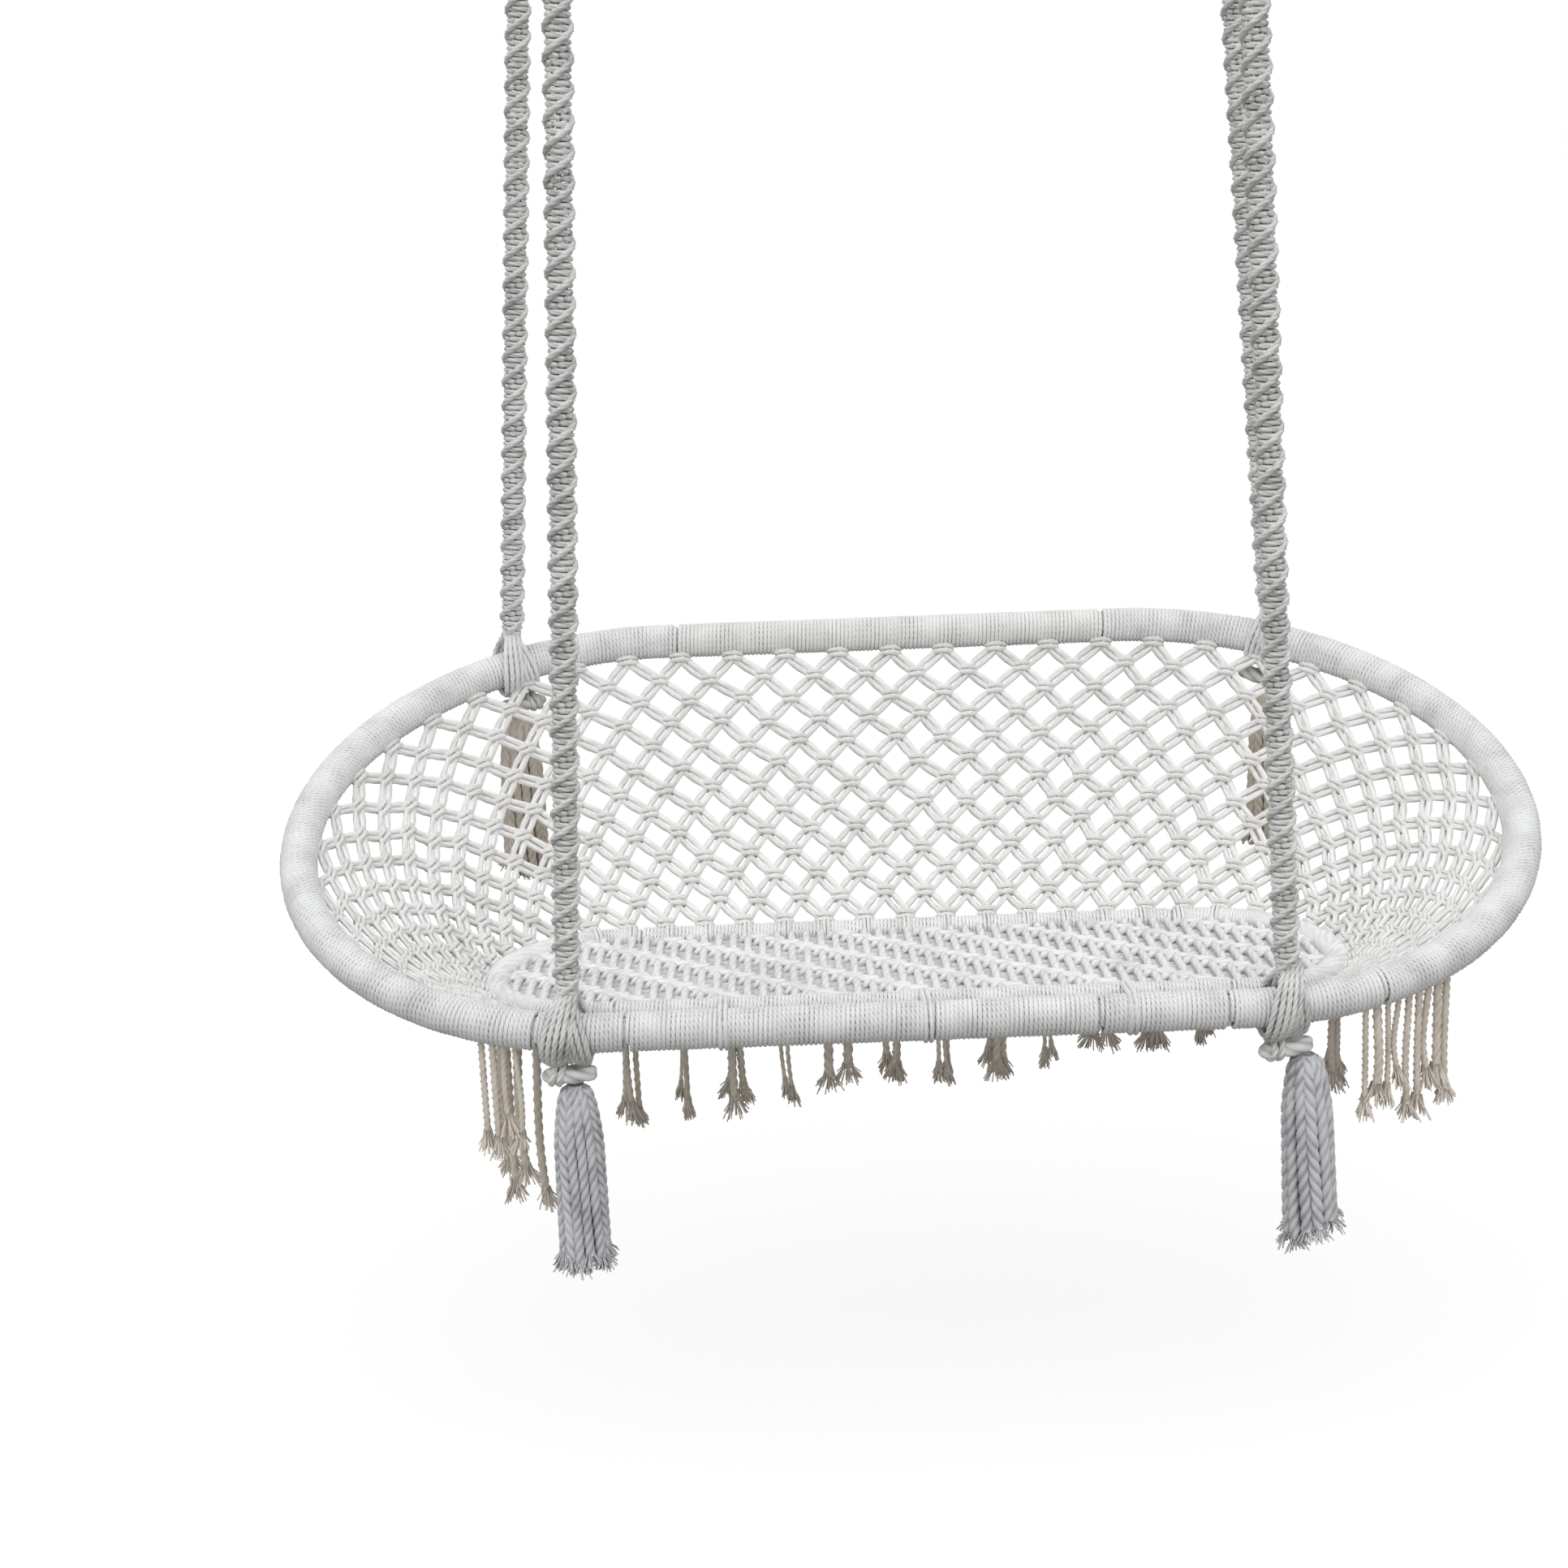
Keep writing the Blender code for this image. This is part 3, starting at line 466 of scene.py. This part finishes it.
seat_straight = (SEAT_FRONT_STRAIGHT + SEAT_BACK_STRAIGHT) / 4
seat_end = SEAT_HALF_WIDTH - seat_straight
weave_rows = int((SEAT_HALF_DEPTH - WEAVE_EDGE) / WEAVE_ROW)
weave_steps = int((SEAT_HALF_WIDTH - WEAVE_EDGE) / WEAVE_STEP)


def crosses_over(step, row):
    return (row + step) % WEAVE_REPEAT < WEAVE_OVER


def seat_place(x, depth, height):
    return SEAT_CENTRE + Vector((x, 0, 0)) + seat_deep * depth + seat_upward * height


long_cords = []
for row in range(-weave_rows, weave_rows + 1):
    for pair in (-1, 1):
        depth = row * WEAVE_ROW + pair * WEAVE_PAIR
        reach = seat_straight + seat_end * max(0.0, 1 - (depth / SEAT_HALF_DEPTH) ** 2) ** 0.5 - WEAVE_EDGE
        route = [seat_place(-reach, depth, 0)]
        for step in range(-weave_steps, weave_steps + 1):
            height = -WEAVE_DIP if crosses_over(step, row) else WEAVE_DIP
            for edge in (-WEAVE_FLAT, WEAVE_FLAT):
                if abs((step + edge) * WEAVE_STEP) < reach - WEAVE_TUCK:
                    route.append(seat_place((step + edge) * WEAVE_STEP, depth, height))
        route.append(seat_place(reach, depth, 0))
        long_cords.append((route, WEAVE_CORD, pair))
cross_cords = []
for step in range(-weave_steps, weave_steps + 1):
    x = step * WEAVE_STEP
    beyond = max(0.0, abs(x) - seat_straight) / seat_end
    reach = SEAT_HALF_DEPTH * max(0.0, 1 - beyond ** 2) ** 0.5 - WEAVE_EDGE
    route = [seat_place(x, -reach, 0)]
    for row in range(-weave_rows, weave_rows + 1):
        height = WEAVE_LIFT if crosses_over(step, row) else -WEAVE_LIFT
        for edge in (-WEAVE_FLAT, WEAVE_FLAT):
            if abs((row + edge) * WEAVE_ROW) < reach - WEAVE_TUCK:
                route.append(seat_place(x, (row + edge) * WEAVE_ROW, height))
    route.append(seat_place(x, reach, 0))
    if reach > WEAVE_ROW:
        cross_cords.append((route, WEAVE_CROSS_CORD, 1))
# Seat cotton: the whitest cord, smooth and even
seat_cotton = cotton("seat_cotton_cord", "FBFBFA", "DCDBD6", 0.08)
seat_weave = rope("seat_weave_cords", long_cords + cross_cords, seat_cotton, lay=7.0, depth=0.06)
dress(seat_weave, "seat", "white_rope", "seat_weave")

# Front lashings: rope bound twice round the rim's front bar and the seat hoop's front, to join them.
# The two turns lie side by side, pressed a little into the wraps.
LASHING_CORD = 0.0080
LASHING_SPACE = 0.0080
LASHING_SUNK = 0.1
LASHING_POINTS = 24

rim_front = rim_point(-quarter)
seat_front = seat_point(-quarter)
lashed_bars = ((rim_front, RIM_WRAP_RADIUS, quarter), (seat_front, SEAT_WRAP_RADIUS, -quarter))
for side_name in ("left", "middle", "right"):
    low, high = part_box("front_lashing_" + side_name)
    turns = []
    for aside in (-0.5, 0.5):
        x = (low.x + high.x) / 2 + aside * LASHING_SPACE
        route = []
        for centre, radius, start in lashed_bars:
            reach = radius - LASHING_CORD * LASHING_SUNK
            for i in range(LASHING_POINTS + 1):
                swing = start + 2 * quarter * i / LASHING_POINTS
                y = centre.y + reach * math.cos(swing)
                route.append(Vector((x, y, centre.z + reach * math.sin(swing))))
        turns.append((route, LASHING_CORD, 1))
    lashing = rope("front_lashing_rope_" + side_name, turns, white_cotton, closed=True)
    dress(lashing, "seat", "white_rope", "front_lashing_" + side_name)

# Hitches: where each hanging rope reaches the rim, its cords fan out and bind round the wrapped bar.
# Each has an inner band and two that spread over it, and the front right one slants the most.
HITCH_CORD = 0.0100
HITCH_APART = 0.94
HITCH_PROUD = 0.45
HITCH_GATHER = 0.35
HITCH_CURVE = 5
HITCH_POINTS = 40
HITCH_RISE = 0.034
HITCH_SAG = 0.010
FRONT_HITCH_TURN = -0.95218
BACK_HITCH_TURN = 0.69881

corner_turns = {
    "front_right": FRONT_HITCH_TURN,
    "front_left": 2 * quarter - FRONT_HITCH_TURN,
    "back_right": BACK_HITCH_TURN,
    "back_left": 2 * quarter - BACK_HITCH_TURN,
}
# Each band has a number of cords, a shift along the bar at its top and at its foot, and its height
hitch_bands = {
    "front_left": ((3, 0.0, 0.0, 0.0), (4, -0.004, 0.022, 0.004), (5, 0.004, -0.020, 0.012)),
    "front_right": ((3, 0.0, 0.0, 0.0), (4, 0.0, 0.010, 0.002), (5, 0.012, -0.022, 0.012)),
    "back_left": ((3, 0.0, 0.0, 0.0), (4, 0.004, -0.018, 0.002), (4, -0.004, 0.018, 0.008)),
    "back_right": ((3, 0.0, 0.0, 0.0), (4, -0.004, 0.018, 0.002), (4, 0.004, -0.018, 0.008)),
}


def rim_frame(turn):
    """The rim's heading at a turn, with up and out square to it."""
    ahead = (rim_point(turn + 0.01) - rim_point(turn - 0.01)).normalized()
    upward = (Vector((0, 0, 1)) - ahead * ahead.z).normalized()
    return ahead, upward, ahead.cross(upward)


for corner, turn in corner_turns.items():
    ahead, upward, outward = rim_frame(turn)
    gather = Vector((0, 0, HITCH_RISE)) + ahead * (ahead.z * RIM_WRAP_RADIUS)
    cords = []
    for count, top_shift, low_shift, over in hitch_bands[corner]:
        for face in (-1, 1):
            for i in range(count):
                aside = (i - (count - 1) / 2) * HITCH_CORD * HITCH_APART
                crown = over * (1 - (2 * aside / (count * HITCH_CORD)) ** 2)
                route = []
                for k in range(HITCH_POINTS + 1):
                    fall = k / HITCH_POINTS
                    swing = quarter * (1 - 2 * fall)
                    fan = HITCH_GATHER + (1 - HITCH_GATHER) * math.sin(math.pi * fall) ** 0.6
                    along = top_shift + (low_shift - top_shift) * math.sin(quarter * fall) + aside * fan
                    reach = RIM_WRAP_RADIUS + HITCH_CORD * HITCH_PROUD
                    reach += crown * math.sin(math.pi * fall) ** 0.5 + HITCH_SAG * fall ** HITCH_CURVE
                    ring = upward * math.sin(swing) + outward * (face * math.cos(swing))
                    rise = gather * (1 - fall) ** HITCH_CURVE
                    route.append(rim_point(turn) + ahead * along + ring * reach + rise)
                cords.append((route, HITCH_CORD, 1))
    material = grey_cotton if corner.startswith("front") else white_cotton
    hitch = rope("rim_hitch_cords_" + corner, cords, material, lay=4.0)
    dress(hitch, "seat", "white_rope", "rim_hitch_" + corner)

# Knots: the cords of each hitch are twisted into one fat rope and looped round their own ends.
# The loop lies along the bar, just under the rim, and a band of two turns holds it.
KNOT_ROPE = 0.0230
KNOT_LONG = 0.031
KNOT_SHORT = 0.0100
KNOT_BAND = 0.0105
KNOT_BAND_TALL = 0.0135
KNOT_BAND_DEEP = 0.0205
KNOT_TILT = 0.10
KNOT_BAND_TILT = 0.25
KNOT_BAND_PLACES = (-0.75, -0.38)

for corner, turn in corner_turns.items():
    ahead, upward, outward = rim_frame(turn)
    low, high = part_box("knot_" + corner)
    centre = (low + high) / 2
    long_way = (ahead + upward * KNOT_TILT) * KNOT_LONG
    turns = [(ring_route(centre, long_way, outward * KNOT_SHORT, 40), KNOT_ROPE, 1)]
    for shift in KNOT_BAND_PLACES:
        middle = centre + ahead * (shift * KNOT_LONG)
        tall = (upward + ahead * KNOT_BAND_TILT) * KNOT_BAND_TALL
        turns.append((ring_route(middle, tall, outward * KNOT_BAND_DEEP, 30), KNOT_BAND, 1))
    knot = rope("knot_cords_" + corner, turns, grey_cotton, sides=12, lay=3.4, closed=True)
    dress(knot, "seat", "grey_rope", "knot_" + corner)

# Hanging ropes: spiral sinnets, half knots tied one above the other round a core so that they twist.
# Two thick cords climb the outside as ridges, and thinner turns fill the space between them.
SINNET_TURN = 0.08
SINNET_LEVEL = 0.0088
SINNET_CORD = 0.0088
SINNET_RIDGE_CORD = 0.0118
SINNET_LONG = 0.0144
SINNET_SHORT = 0.0128
SINNET_RIDGE = 0.0172
SINNET_TAPER = 0.08
SINNET_FOOT_SNUG = 0.72
SINNET_TOP_SNUG = 0.76
SINNET_TUCKED_TURNS = 2
SINNET_EYE_ROOM = 0.021
RIDGE_SNUG = 0.6
RIDGE_STEPS = 34
CORE_CORD = 0.0080
CORE_FOOT = 0.03
CORE_TOP = 0.01
RING_RADIUS = 0.028
FRONT_RING_HALF_SPAN = 0.453
BACK_RING_HALF_SPAN = 0.572

half_spans = {"front": FRONT_RING_HALF_SPAN, "back": BACK_RING_HALF_SPAN}
for corner, turn in corner_turns.items():
    row_name, side_name = corner.split("_")
    side = 1 if side_name == "right" else -1
    spot = rim_point(turn)
    foot = Vector((spot.x, spot.y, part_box("sinnet_" + corner)[0].z))
    top = Vector((side * half_spans[row_name], spot.y, -RING_RADIUS))
    climb = (top - foot).normalized()
    length = (top - foot).length - SINNET_EYE_ROOM
    across = Vector((0, 1, 0)).cross(climb)
    deep = climb.cross(across)
    turns = []
    for i in range(-SINNET_TUCKED_TURNS, int(length / SINNET_LEVEL) + SINNET_TUCKED_TURNS):
        height = (i + 0.5) * SINNET_LEVEL
        angle = 2 * math.pi * height / SINNET_TURN + quarter
        from_foot = SINNET_FOOT_SNUG + height / SINNET_TAPER
        from_top = SINNET_TOP_SNUG + (length - height) / SINNET_TAPER
        snug = max(SINNET_FOOT_SNUG, min(1.0, from_foot, from_top))
        long_way = (across * math.cos(angle) + deep * math.sin(angle)) * SINNET_LONG * snug
        short_way = (deep * math.cos(angle) - across * math.sin(angle)) * SINNET_SHORT * snug
        turns.append((ring_route(foot + climb * height, long_way, short_way, 18), SINNET_CORD, 1))
    column = rope("sinnet_turns_" + corner, turns, grey_cotton, lay=6.0, depth=0.08, closed=True)
    ridges = []
    for phase in (0, math.pi):
        route = []
        count = int(length / SINNET_TURN * RIDGE_STEPS)
        for i in range(count + 1):
            height = length * i / count
            angle = 2 * math.pi * height / SINNET_TURN + phase
            snug = min(1.0, RIDGE_SNUG + height / SINNET_TAPER)
            way = across * math.cos(angle) + deep * math.sin(angle)
            route.append(foot + climb * height + way * SINNET_RIDGE * snug)
        ridges.append((route, SINNET_RIDGE_CORD, 1))
    ridge = rope("sinnet_ridges_" + corner, ridges, grey_cotton, lay=3.4)
    inside = [foot + climb * CORE_FOOT, foot + climb * (length - CORE_TOP)]
    core = rope("sinnet_core_rope_" + corner, [(inside, CORE_CORD, 1)], cream_cotton)
    body = row_name + "_ropes"
    dress(column, body, "grey_rope", "sinnet_" + corner)
    dress(ridge, body, "grey_rope")
    dress(core, body, "cream_rope", "sinnet_core_" + corner)

# Rope eyes: each hanging rope ends in a spliced eye of thick twisted cotton through its ring.
# They lie just above the photograph, so the splice is a guess.
EYE_ROPE = 0.0155
EYE_RADIUS = 0.0127

for corner in corner_turns:
    row_name = corner.split("_")[0]
    low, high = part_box("eye_" + corner)
    loop = ring_route((low + high) / 2, Vector((0, EYE_RADIUS, 0)), Vector((0, 0, EYE_RADIUS)), 24)
    eye = rope("eye_rope_" + corner, [(loop, EYE_ROPE, 1)], grey_cotton, sides=12, closed=True)
    dress(eye, row_name + "_ropes", "grey_rope", "eye_" + corner)

# Hanging rings: welded rings of zinc-plated steel wire that the eyes turn in, for the user's own hooks.
# They are smooth and round, and their bright plating is a little clouded.
RING_WIRE = 0.008
ZINC_PATCH = 0.008

# Zinc plate: bright metal, clouded by patches of darker grey
ring_zinc, zinc_shader = start_material("zinc_plated_steel", 0.32)
zinc_shader.inputs["Metallic"].default_value = 1.0
zinc_place = add_node(ring_zinc, "ShaderNodeTexCoord")
zinc_cloud = add_node(ring_zinc, "ShaderNodeTexNoise", {"Scale": 1 / ZINC_PATCH},
                      {"Vector": (zinc_place, "Object")})
zinc_ramp = add_node(ring_zinc, "ShaderNodeValToRGB", {}, {"Fac": (zinc_cloud, 0)})
zinc_ramp.color_ramp.elements[0].color = linear("9DA1A4")
zinc_ramp.color_ramp.elements[1].color = linear("C9CDD0")
ring_zinc.node_tree.links.new(zinc_ramp.outputs["Color"], zinc_shader.inputs["Base Color"])
for corner in corner_turns:
    low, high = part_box("ring_" + corner)
    wire = ring_route((low + high) / 2, Vector((RING_RADIUS, 0, 0)), Vector((0, 0, RING_RADIUS)), 48)
    ring = rope("ring_wire_" + corner, [(wire, RING_WIRE, 0)], ring_zinc, sides=12, depth=0.0, closed=True)
    dress(ring, "hanging_rings", "zinc_steel", "ring_" + corner)

# Tassels: the hanging ropes' own ends, thick three-strand ropes that fall from each knot.
# Most are laid to the right and a few to the left, and every cut end has frayed into loose yarns.
TASSEL_LENGTH = 0.29
TASSEL_START = 0.016
TASSEL_HEAD = 0.02
TASSEL_NECK = 0.008
TASSEL_WIDE_LEAST = 0.031
TASSEL_WIDE_MOST = 0.034
TASSEL_TWIST = 0.3
TASSEL_SWAY = 0.0176
TASSEL_CORE_ROPES = 3
TASSEL_CORE_SHARE = 0.45
TASSEL_STEPS = 48
FRAY_YARN = 0.0024
FRAY_LENGTH = 0.020
FRAY_COUNT = 34
FRAY_SUNK = 0.3
FRAY_ROOT_WIDE = 0.38
FRAY_MIDDLE_WIDE = 0.16
FRAY_TIP_WIDE = 0.75


def frayed(chance, tip, heading, width, count, length):
    """Loose yarns that spread from a cut end."""
    yarns = []
    for i in range(count):
        aside = Vector((chance.uniform(-1, 1), chance.uniform(-1, 1), 0))
        start = tip + aside * (width * FRAY_ROOT_WIDE) - heading * (length * FRAY_SUNK)
        reach = length * chance.uniform(0.55, 1.0)
        middle = start + heading * (reach * 0.6) + aside * (width * FRAY_MIDDLE_WIDE)
        end = start + heading * reach * 1.3 + aside * (width * FRAY_TIP_WIDE)
        yarns.append(([start, middle, end], FRAY_YARN, 0))
    return yarns


# Tassel cotton: the same rope in a darker grey, a painted shade for the front tassels that hang under the
# hammock
tassel_cotton_painted_shade = cotton("tassel_cotton_rope", "DEDEE0", "8B8C90", 0.04)
# Each tassel has its count of outer ropes, their diameter, the lean of its foot and the slant of its cut
tassel_forms = {
    "front_left": (13, 0.0160, 0.0, 0.0),
    "front_right": (11, 0.0185, 0.012, 0.05),
    "back_left": (13, 0.0160, 0.0, 0.0),
    "back_right": (13, 0.0160, -0.004, 0.0),
}
for corner in corner_turns:
    chance = random.Random("tassel " + corner)
    low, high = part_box("tassel_" + corner)
    head = Vector(((low.x + high.x) / 2, (low.y + high.y) / 2, high.z - TASSEL_HEAD))
    ropes = []
    yarns = []
    outer, thick, foot_lean, slant = tassel_forms[corner]
    for i in range(outer + TASSEL_CORE_ROPES):
        inner = i >= outer
        angle = 2 * math.pi * (i / TASSEL_CORE_ROPES if inner else i / outer) + chance.uniform(-0.12, 0.12)
        way = Vector((math.cos(angle), math.sin(angle), 0))
        length = (TASSEL_LENGTH - FRAY_LENGTH) * (chance.uniform(0.92, 1.0) - slant * way.x)
        wide = chance.uniform(TASSEL_WIDE_LEAST, TASSEL_WIDE_MOST) * (TASSEL_CORE_SHARE if inner else 1.0)
        route = []
        for k in range(TASSEL_STEPS + 1):
            fall = length * k / TASSEL_STEPS
            share = fall / TASSEL_LENGTH
            swell = min(1.0, 1.5 * share ** 0.32) * (0.82 + 0.18 * share)
            reach = TASSEL_NECK + (wide - TASSEL_NECK) * swell
            sway = TASSEL_SWAY * math.sin(9 * share + i * 1.7)
            lean = Vector((foot_lean * share, 0, 0))
            turned = Matrix.Rotation(TASSEL_TWIST * share + sway, 3, "Z") @ way
            route.append(head + Vector((0, 0, TASSEL_START - fall)) + turned * reach + lean)
        ropes.append((route, thick, 1 if i % 4 else -1))
        heading = (route[-1] - route[-4]).normalized()
        yarns += frayed(chance, route[-1], heading, thick, FRAY_COUNT, FRAY_LENGTH)
    # The front tassels take the darker grey cotton, painted shade
    material = raw_cotton if corner.startswith("back") else tassel_cotton_painted_shade
    tassel = rope("tassel_ropes_" + corner, ropes, material, sides=12, lay=3.2)
    dress(tassel, "tassel_" + corner, "grey_rope", "tassel_" + corner)
    fray = rope("tassel_fray_" + corner, yarns, material, sides=3, depth=0.0)
    dress(fray, "tassel_" + corner, "grey_rope")

# Fringe: the cut ends of the net and seat cords, tied in bunches under the seat hoop and left hanging.
# They are longest at the left and their tips have come apart.
FRINGE_CORD = 0.0095
FRINGE_BRUSH = 0.030
FRINGE_BRUSH_YARNS = 40
FRINGE_STEPS = 48
FRINGE_BEND = 0.012
FRINGE_SPREAD = 0.010
FRINGE_BUNCHES = 12
FRINGE_LEFT = -0.47
FRINGE_STEP = 0.0882
FRINGE_LONG = 0.31
FRINGE_SHORT = 0.20
FRINGE_ROOT = 0.9
END_ROOT = 0.4
END_SPREAD = 0.004
LEFT_END_LENGTH = 0.345
LEFT_END_STAGGER = 0.03
LEFT_END_THICK = 1.6
RIGHT_END_LENGTH = 0.21
RIGHT_END_STAGGER = 0.02
RIGHT_END_THICK = 1.2
RIGHT_END_CLOSE = 0.6


def bunch(chance, place, count, length, spread, thick):
    """Cords that hang together from place, with their frayed tips."""
    cords = []
    tips = []
    for i in range(count):
        angle = 2.4 * i + chance.uniform(-0.3, 0.3)
        aside = Vector((math.cos(angle), 0.7 * math.sin(angle), 0)) * (spread * ((i + 0.5) / count) ** 0.5)
        drop = length * chance.uniform(0.90, 1.04) - FRINGE_BRUSH
        bend = Vector((chance.uniform(-1, 1), chance.uniform(-1, 1), 0)) * FRINGE_BEND
        route = []
        for k in range(FRINGE_STEPS + 1):
            share = k / FRINGE_STEPS
            swell = aside * (0.6 + 0.4 * share) + bend * math.sin(math.pi * share) * share
            route.append(place + swell + Vector((0, 0, -drop * share)))
        width = FRINGE_CORD * thick * chance.uniform(0.9, 1.1)
        cords.append((route, width, (-1) ** i))
        heading = (route[-1] - route[-5]).normalized()
        tips += frayed(chance, route[-1], heading, width * 1.2, FRINGE_BRUSH_YARNS, FRINGE_BRUSH)
    return cords, tips


def hang_fringe(name, bunches):
    """One fringe on its body: bunches of (place, count, length, spread, thick)."""
    chance = random.Random(name)
    cords = []
    tips = []
    for place, count, length, spread, thick in bunches:
        more_cords, more_tips = bunch(chance, place, count, length, spread, thick)
        cords += more_cords
        tips += more_tips
    hung = rope(name + "_cords", cords, raw_cotton)
    dress(hung, name, "tan_rope", name)
    ends = rope(name + "_tips", tips, raw_cotton, sides=3, depth=0.0)
    dress(ends, name, "tan_rope")


# Each kind of bunch has its count of ends and how thick they are, as a share of the fringe cord
fringe_kinds = ((3, 1.3), (3, 0.8), (3, 1.6), (2, 0.8), (2, 1.8))
back_bunches = []
for i in range(FRINGE_BUNCHES):
    drop = FRINGE_LONG + (FRINGE_SHORT - FRINGE_LONG) * i / (FRINGE_BUNCHES - 1)
    x = FRINGE_LEFT + FRINGE_STEP * i
    beyond = max(0.0, abs(x) - SEAT_BACK_STRAIGHT / 2) / seat_end
    place = seat_place(x, SEAT_HALF_DEPTH * (1 - beyond ** 2) ** 0.5, -FRINGE_ROOT * SEAT_WRAP_RADIUS)
    count, thick = fringe_kinds[i % len(fringe_kinds)]
    back_bunches.append((place, count, drop, FRINGE_SPREAD * thick * count ** 0.5, thick))
hang_fringe("fringe_back", back_bunches)
end_turns = (0.0, 0.16, 0.32, 0.48, 0.64)
left_ends = []
right_ends = []
for i, aside in enumerate(end_turns):
    sunk = Vector((0, 0, -END_ROOT * SEAT_WRAP_RADIUS))
    left_top = seat_point(2 * quarter + aside) + sunk
    right_top = seat_point(-RIGHT_END_CLOSE * aside) + sunk
    left_drop = LEFT_END_LENGTH - LEFT_END_STAGGER * (i % 2)
    right_drop = RIGHT_END_LENGTH - RIGHT_END_STAGGER * (i % 2)
    left_ends.append((left_top, 1, left_drop, END_SPREAD, LEFT_END_THICK))
    right_ends.append((right_top, 1, right_drop, END_SPREAD, RIGHT_END_THICK))
hang_fringe("fringe_left", left_ends)
hang_fringe("fringe_right", right_ends)

# Net ends: spare ends of net cord that hang by the rim's front corners, more of them at the right.
# They start under the wrap, between its turns.
NET_END_LENGTH = 0.21
NET_END_ROOT = 0.6
NET_END_SPREAD = 0.006

# Each side has the turn where its ends start, the step between them and their count
net_end_sides = (("left", 2 * quarter + 0.78, 0.022, 4), ("right", -0.80, 0.024, 9))
for side_name, start, step, count in net_end_sides:
    chance = random.Random("net ends " + side_name)
    cords = []
    tips = []
    for i in range(count):
        drop = NET_END_LENGTH * chance.uniform(0.8, 1.1)
        sunk = rim_point(start + step * i) - Vector((0, 0, NET_END_ROOT * RIM_WRAP_RADIUS))
        more_cords, more_tips = bunch(chance, sunk, 1, drop, NET_END_SPREAD, chance.uniform(1.0, 1.5))
        cords += more_cords
        tips += more_tips
    dress(rope("net_end_cords_" + side_name, cords, raw_cotton), "seat", "tan_rope")
    dress(rope("net_end_tips_" + side_name, tips, raw_cotton, sides=3, depth=0.0), "seat", "tan_rope")

# Floor and light: a pale floor below the hammock, one wide soft light above it and a white surround.
# The light stands for an overcast sky, so tops are bright and undersides fall to grey.
FLOOR_HEIGHT = -2.3
FLOOR_HALF_SIZE = 60
FLOOR_GLOW = 0.79
SKY_STRENGTH = 1.5
SKY_SPREAD = 110
SKY_TILT = (30, -8)
FILL_STRENGTH = 0.62


def seen_rays(owner):
    """Adds a value of 1 for what the camera sees, straight on or in metal and glass, and 0 for cast light."""
    rays = add_node(owner, "ShaderNodeLightPath")
    shine = add_node(owner, "ShaderNodeMath", {"operation": "MAXIMUM"},
                     {0: (rays, "Is Camera Ray"), 1: (rays, "Is Glossy Ray")})
    return add_node(owner, "ShaderNodeMath", {"operation": "MAXIMUM"},
                    {0: (shine, 0), 1: (rays, "Is Transmission Ray")})


floor_mesh = bpy.data.meshes.new("floor")
floor_shape = bmesh.new()
bmesh.ops.create_grid(floor_shape, x_segments=1, y_segments=1, size=FLOOR_HALF_SIZE)
bmesh.ops.translate(floor_shape, verts=floor_shape.verts, vec=(0, 0, FLOOR_HEIGHT))
floor_shape.to_mesh(floor_mesh)
floor_shape.free()
floor = bpy.data.objects.new("floor", floor_mesh)
scene.collection.objects.link(floor)
# Floor paint: matt and pale. To the eye most of its white is its own, so that the shadow stays light
floor_paint, floor_shader = start_material("pale_floor", 0.9)
floor_shader.inputs["Base Color"].default_value = linear("8A8A87")
floor_shader.inputs["Specular IOR Level"].default_value = 0.0
floor_shader.inputs["Emission Color"].default_value = (1, 1, 1, 1)
floor_glow = add_node(floor_paint, "ShaderNodeMath", {"operation": "MULTIPLY", 1: FLOOR_GLOW},
                      {0: (seen_rays(floor_paint), 0)})
floor_paint.node_tree.links.new(floor_glow.outputs[0], floor_shader.inputs["Emission Strength"])
floor_mesh.materials.append(floor_paint)

sky_light = bpy.data.lights.new("sky_light", "SUN")
sky_light.energy = SKY_STRENGTH
sky_light.angle = math.radians(SKY_SPREAD)
sky = bpy.data.objects.new("sky_light", sky_light)
sky.rotation_euler = (*(math.radians(angle) for angle in SKY_TILT), 0)
scene.collection.objects.link(sky)

world = bpy.data.worlds.new("white_surround")
scene.world = world
world.use_nodes = True
tree = world.node_tree
fill = tree.nodes["Background"]
fill.inputs["Color"].default_value = linear("F6F8FB")
fill.inputs["Strength"].default_value = FILL_STRENGTH
seen = add_node(world, "ShaderNodeBackground", {"Color": (1, 1, 1, 1), "Strength": 1.0})
surround = add_node(world, "ShaderNodeMixShader", {},
                    {0: (seen_rays(world), 0), 1: (fill, 0), 2: (seen, 0)})
tree.links.new(surround.outputs[0], tree.nodes["World Output"].inputs["Surface"])
scene.view_settings.view_transform = "Standard"
